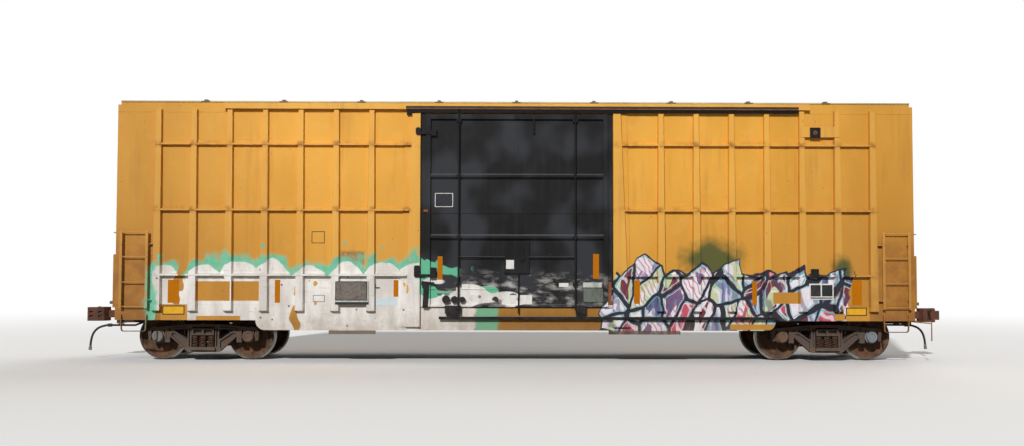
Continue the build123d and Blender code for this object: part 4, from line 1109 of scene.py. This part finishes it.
# columns: radius of the coil, radius of its wire, turns
outer_coil, inner_coil, middle_coil = (0.0460, 0.0135, 7.5), (0.0230, 0.0090, 10.5), (0.0330, 0.0100, 10.0)
for letter, end in (("a", -1), ("b", 1)):
    coils = []
    for side in (-1, 1):
        for place in spring_places:
            for row in (-spring_row, spring_row):
                centre = (end * truck_centre + place, side * journal_centre + row)
                coils.append(coil(centre, spring_bottom, spring_top, *outer_coil))
                coils.append(coil(centre, spring_bottom, spring_top, *inner_coil, steps=12, around=5))
        for place in middle_places:
            centre = (end * truck_centre + place, side * journal_centre)
            coils.append(coil(centre, spring_bottom, spring_top, *middle_coil))
    springs = put(
        "coil_springs_" + letter, gathered(coils), "spring_steel",
        body="truck_" + letter, smooth=True,
    )
    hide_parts("springs_" + letter)

# Three cap screws on each bearing end
screw_circle, bearing_end = 0.081, 1.150
screw_radius, screw_height = 0.0135, 0.011
for number, (end, offset) in enumerate(((-1, -1), (-1, 1), (1, -1), (1, 1)), start=1):
    centre = end * truck_centre + offset * half_wheelbase
    angle = np.radians([90.0, 210.0, 330.0])
    shapes = []
    for side in (-1, 1):
        spots = on_circle(centre, side * bearing_end, axle_height, screw_circle, angle)
        shapes.append(heads(spots, (0, side, 0), screw_radius, screw_height, sides=6))
    put("bearing_screws_%d" % number, gathered(shapes), "axle_steel", "wheelset_%d" % number)

# Bolts on the near door, its gear and tracks, and the same turned to the far side
# columns: row, left, right, height above the rail, face, count, head radius
bolt_rows = [
    ("lower track", -1.44, 5.04, 0.859, track_face, 28, 0.007),
    ("upper track", -2.05, 5.45, 4.898, track_bolt_face, 26, 0.006),
    ("board top", -3.45, -2.92, 1.525, board_face, 4, 0.008),
    ("board foot", -3.45, -2.92, 1.130, board_face, 4, 0.008),
    ("gearbox top", -0.205, 0.225, 2.290, gear_face, 4, 0.011),
    ("gearbox foot", -0.205, 0.225, 1.736, gear_face, 4, 0.011),
    ("left carriage", -1.350, -1.110, 1.010, track_bolt_face, 4, 0.009),
    ("right carriage", 1.180, 1.330, 1.010, track_bolt_face, 3, 0.009),
    ("upper lock", -1.952, -1.884, 4.480, lock_face, 2, 0.010),
    ("lower lock", -1.965, -1.890, 1.745, lock_face, 2, 0.012),
    ("low stop", 5.775, 5.862, 1.719, lock_face, 2, 0.009),
]
rod_places, rod_brackets, bolt_half = (-1.125, 1.145), (1.500, 2.415, 3.605, 4.690), 0.034
bolt_rows += [
    ("rod bracket", place - bolt_half, place + bolt_half, height, rod_face, 2, 0.008)
    for place in rod_places for height in rod_brackets
]
# columns: middle of a roller housing on the lower track, radius of its circle of bolts
roller_housings, roller_height = [(-1.362, 0.050), (-1.198, 0.044), (-1.048, 0.036)], 1.200
shapes = []
for _, left, right, height, face, count, radius in bolt_rows:
    row = spaced((left, -face, rail + height), (right, -face, rail + height), count)
    shapes.append(heads(row, (0, -1, 0), radius, radius * 0.8, 6))
for centre, radius in roller_housings:
    spots = on_circle(centre, -roller_face, rail + roller_height, radius, np.radians(np.arange(6) * 60.0))
    shapes.append(heads(spots, (0, -1, 0), 0.008, 0.006, 6))
put_near_and_far("door_bolts", gathered(shapes), "gear_black")

# Rung ends and bracket bolts on the side ladders, and the step bolts below them
# columns: heights above the rail, face, shift towards the ladder's middle, head radius, head height, sides
ladder_bolts = [
    (rung_heights, ladder_face, 0.0, 0.012, 0.006, 8),
    (ladder_brackets, ladder_face, 0.0, 0.011, 0.009, 6),
    (step_bolts, step_face, 0.01, 0.009, 0.007, 6),
]
shapes = []
for end in (-1, 1):
    for edge in (-1, 1):
        for heights, face, shift, radius, height, sides in ladder_bolts:
            along = end * ladder_centre + edge * (ladder_half - shift)
            spots = [(along, -face, rail + level) for level in heights]
            shapes.append(heads(spots, (0, -1, 0), radius, height, sides))
put_near_and_far("ladder_bolts", gathered(shapes), "body_paint")

# Rivets along both flanks of every roof seam, from the eave to beside the ridge
seam_flank, roof_slope, rivets_in_row = 0.062, 0.045, 10
eave, by_ridge = (1.36, rail + 5.0767), (0.10, rail + 5.1335)
shapes = []
for number in range(roof_seam_count):
    along = (number - (roof_seam_count - 1) / 2) * roof_seam_pitch
    for shift in (-seam_flank, seam_flank):
        for side in (-1, 1):
            start, stop = [(along + shift, side * out, up) for out, up in (eave, by_ridge)]
            row = spaced(start, stop, rivets_in_row)
            shapes.append(heads(row, (0, side * roof_slope, 1), 0.010, 0.006, 6))
put("roof_rivets", gathered(shapes), "roof_paint")

# Weld beads along each side where the sheet laps the sill, and at the foot of the top chord
# columns: row, left, right, height above the rail
bead_rows = [
    ("sill left", -7.78, -2.27, 1.090), ("sill right", 2.25, 7.78, 1.090),
    ("chord left", -7.78, -2.02, 4.850), ("chord right", 2.05, 7.78, 4.850),
]
bead_radius = 0.0045
beads = [
    bead((left, -side_face, rail + height), (right, -side_face, rail + height), bead_radius, (0, -1, 0))
    for _, left, right, height in bead_rows
]
put_near_and_far("weld_beads", gathered(beads), "body_paint", smooth=True)

# Plates and strips, all blank; heights are above the rail
# columns: name, left, right, foot, head, the face they lie on, thickness, finish, slot
backing, case_depth, foot_depth, cap_stand_off = 0.0015, 0.012, 0.018, 0.050
plates = [
    ("strip_wide_left", -6.765, -6.549, 1.125, 1.572, side_face, 0.003, "amber_strip", "body_paint"),
    ("strip_left", -4.691, -4.589, 1.129, 1.575, side_face, 0.003, "amber_strip", "body_paint"),
    ("strip_post_left", -2.386, -2.294, 1.251, 1.575, side_face, 0.003, "amber_strip", "body_paint"),
    ("strip_door_left", -1.534, -1.435, 1.583, 2.038, door_face, 0.003, "amber_strip", "door_black"),
    ("strip_door_right", 1.494, 1.610, 1.609, 2.090, door_face, 0.003, "amber_strip", "door_black"),
    ("strip_post_right", 2.296, 2.411, 1.122, 1.579, side_face, 0.003, "amber_strip", "body_paint"),
    ("strip_right", 4.602, 4.696, 1.103, 1.570, side_face, 0.003, "amber_strip", "body_paint"),
    ("strip_wide_right", 6.560, 6.750, 1.107, 1.588, side_face, 0.003, "amber_strip", "body_paint"),
    ("label_back_left", -6.863, -6.435, 0.895, 1.072, side_face, backing, "label_black", "body_paint"),
    ("label_left", -6.844, -6.454, 0.914, 1.053, side_face + backing, 0.001, "label_yellow", "body_paint"),
    ("label_back_right", 6.434, 6.845, 0.895, 1.055, side_face, backing, "label_black", "body_paint"),
    ("label_right", 6.453, 6.826, 0.914, 1.036, side_face + backing, 0.001, "label_yellow", "body_paint"),
    ("door_label_a", -0.278, -0.005, 1.095, 1.289, door_face, 0.001, "label_white", "door_black"),
    ("door_label_b", 0.072, 0.306, 1.096, 1.289, door_face, 0.001, "label_white", "door_black"),
    ("door_label_c", 0.831, 1.016, 1.446, 1.524, door_face, 0.001, "label_white", "door_black"),
    ("door_label_d", -0.977, -0.763, 1.171, 1.287, door_face, 0.001, "label_white", "door_black"),
    ("gear_label", -0.201, -0.045, 1.794, 1.969, gear_face, 0.001, "label_white", "gear_black"),
    ("case_back", 5.717, 6.199, 1.209, 1.520, side_face, case_depth, "label_white", "body_paint"),
    ("case_left", 5.745, 5.940, 1.272, 1.495, side_face + case_depth, 0.002, "label_black", "body_paint"),
    ("case_right", 5.965, 6.172, 1.272, 1.495, side_face + case_depth, 0.002, "label_black", "body_paint"),
    ("case_foot", 5.745, 6.172, 1.229, 1.252, side_face + case_depth, 0.002, "label_black", "body_paint"),
    ("door_seam", 0.020, 0.034, 3.660, 4.688, door_face, 0.004, "door_black", "door_black"),
    ("seam_cap", -0.032, 0.038, 4.726, 4.810, door_face + cap_stand_off, 0.010, "gear_black", "door_black"),
    ("seam_plate", -0.140, 0.125, 2.490, 2.870, door_face, 0.008, "gear_black", "door_black"),
    ("cover_low", 1.307, 1.686, 1.157, 1.418, door_face, 0.022, "cover_grey", "door_black"),
    ("cover_top", 1.298, 1.667, 1.438, 1.535, door_face, 0.016, "cover_pale", "door_black"),
    ("tape", -2.727, -2.310, 1.071, 1.225, side_face, 0.0008, "tape_pale", "body_paint"),
    ("bolt_plate", -1.807, -1.719, 2.897, 2.947, bolt_plate_face, 0.006, "rusty_steel", "door_black"),
    ("angle_upright", -2.749, -2.728, 1.414, 1.511, side_face, 0.012, "label_black", "body_paint"),
    ("angle_foot", -2.728, -2.651, 1.414, 1.436, side_face, 0.012, "label_black", "body_paint"),
    ("foot_bracket", 1.720, 1.850, 1.110, 1.545, door_face, foot_depth, "rusty_steel", "door_black"),
    ("foot_flange", 1.690, 1.880, 1.099, 1.170, door_face + foot_depth, 0.010, "rusty_steel", "door_black"),
    ("board_lip", -3.505, -2.860, 1.148, 1.176, board_face, 0.010, "cover_pale", "body_paint"),
    # A dark strip below the board's lip: painted shadow
    ("board_foot", -3.505, -2.860, 1.106, 1.147, board_face, 0.003, "label_black", "body_paint"),
    ("board_edge", -2.884, -2.861, 1.180, 1.548, board_face, 0.004, "cover_pale", "body_paint"),
    # The upper track's cap is dark as painted shade, and its rusty lip lighter as a painted highlight
    ("track_cap", -2.160, 5.520, 4.929, 4.970, track_face, 0.008, "track_shade", "gear_black"),
    ("track_lip", -2.160, 5.520, 4.909, 4.928, track_face, 0.012, "lip_brown", "gear_black"),
]
for name, left, right, foot, head, face, thickness, finish, slot in plates:
    shape = plate(left, right, rail + foot, rail + head, face, thickness)
    put(name, both_sides(shape), finish)

# Raised lines round blank places, with the width of the line between the heights and the face
outlines = [
    ("box_outline", -3.988, -3.733, 2.287, 2.520, 0.013, side_face, 0.001, "label_black", "body_paint"),
    ("low_outline", -3.950, -3.722, 1.146, 1.281, 0.010, side_face, 0.001, "label_black", "body_paint"),
    ("door_outline", -1.590, -1.237, 3.000, 3.272, 0.012, door_face, 0.001, "label_white", "door_black"),
    ("board_outline", -3.502, -2.886, 1.180, 1.547, 0.014, board_face, 0.002, "label_black", "body_paint"),
]
for name, left, right, foot, head, width, face, thickness, finish, slot in outlines:
    shape = frame_ring(left, right, rail + foot, rail + head, width, face, thickness)
    put(name, both_sides(shape), finish)

# The catch's rusty ring with its dark eye, and rusty bolts beside the door
# columns: name, places with heights above the rail, head radius, head height, sides, finish, slot
catch_across, catch_up, eye_face = 5.843, 4.470, lock_face + 0.005
bolt_places = [(-1.782, -1.592, 2.922), (-1.744, -1.592, 2.922), (1.785, -1.548, 1.30), (1.785, -1.548, 1.46)]
round_pieces = [
    ("catch_ring", [(catch_across, -lock_face, catch_up)], 0.040, 0.006, 14, "rusty_steel", "gear_black"),
    ("catch_eye", [(catch_across, -eye_face, catch_up)], 0.020, 0.004, 10, "label_black", "gear_black"),
    ("rusty_bolts", bolt_places, 0.014, 0.011, 6, "rusty_steel", "door_black"),
]
for name, places, radius, height, sides, finish, slot in round_pieces:
    spots = np.array(places) + np.array([0.0, 0.0, rail])
    put(name, both_sides(heads(spots, (0, -1, 0), radius, height, sides)), finish)

# Air hoses: the route's own points as one smooth line
hose_diameter, hose_length, hose_side = 0.044, 0.6022, 0.330
hose_route = [(8.3120, 0.6654), (8.4605, 0.6445), (8.5945, 0.5399), (8.6526, 0.3801), (8.6610, 0.2604)]
for letter, end in (("a", -1), ("b", 1)):
    data = bpy.data.curves.new("hose_" + letter, "CURVE")
    data.dimensions = "3D"
    line = data.splines.new("NURBS")
    line.points.add(len(hose_route) - 1)
    for point, (out, up) in zip(line.points, hose_route):
        point.co = (end * out, end * hose_side, up, 1.0)
    line.order_u = 3
    line.use_endpoint_u = True
    line.resolution_u = 16
    data.bevel_depth = hose_diameter / 2.0
    data.bevel_resolution = 5
    data.use_fill_caps = True
    data.materials.append(finishes["hose_rubber"])
    hose = bpy.data.objects.new("hose_" + letter, data)
    bpy.context.collection.objects.link(hose)
    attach(hose, "carbody")
    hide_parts("air_hose_" + letter)


def seen_directly(wiring):
    """1 for light that the camera sees directly, in a reflection or through a clear face."""
    path = wiring.add("ShaderNodeLightPath").outputs
    return wiring.most(path["Is Camera Ray"], path["Is Glossy Ray"], path["Is Transmission Ray"])


# Floor: pale to the eye and in reflections, a plain mid grey to the light that bounces, white far off
floor_half = 120.0
corners = [(right * floor_half, back * floor_half, 0) for right, back in ((-1, -1), (1, -1), (1, 1), (-1, 1))]
floor_mesh = bpy.data.meshes.new("studio_floor")
floor_mesh.from_pydata(corners, [], [(0, 1, 2, 3)])
floor = bpy.data.objects.new("studio_floor", floor_mesh)
bpy.context.collection.objects.link(floor)
ground = Finish("pale_floor")
seen = seen_directly(ground)
across, along, _ = ground.split(ground.place)
distance = ground.math("SQRT", ground.line(across, across, ground.times(along, along)))
far = ground.times(ground.fade(distance, 11.0, 36.0), seen)
base = ground.mix(seen, colour(140, 139, 136), colour(250, 249, 247))
ground.surface(ground.coat(base, far, (0, 0, 0)), 0.9, specular=0.0)
ground.shader.inputs["Emission Color"].default_value = (1.0, 1.0, 1.0, 1.0)
ground.feed(ground.shader.inputs["Emission Strength"], far)
beneath = ground.add("ShaderNodeNewGeometry").outputs["Backfacing"]
ground.feed(ground.shader.inputs["Alpha"], ground.rest(beneath))
floor_mesh.materials.append(ground.material)

# columns: name, how the lamp is turned in degrees, strength, the angle its disc fills in degrees
lamp_rows = [
    ("key", (61.0, 0.0, -16.0), 2.75, 2.5),
    ("rear", (58.0, 0.0, 150.0), 1.2, 50.0),
]
for name, turned_by, strength, spread in lamp_rows:
    lamp = bpy.data.lights.new(name, "SUN")
    lamp.energy = strength
    lamp.angle = math.radians(spread)
    holder = bpy.data.objects.new(name, lamp)
    holder.rotation_euler = [math.radians(part) for part in turned_by]
    bpy.context.collection.objects.link(holder)

# The world lights the car softly and looks white
soft_light, shown_white = 0.20, 1.0
world = bpy.data.worlds.new("studio")
bpy.context.scene.world = world
world.use_nodes = True
around = Wiring(world.node_tree)
background = around.nodes["Background"]
background.inputs["Color"].default_value = (1.0, 1.0, 1.0, 1.0)
brightness = around.fade(seen_directly(around), 0.0, 1.0, soft_light, shown_white)
around.feed(background.inputs["Strength"], brightness)

bpy.context.scene.view_settings.view_transform = "Standard"
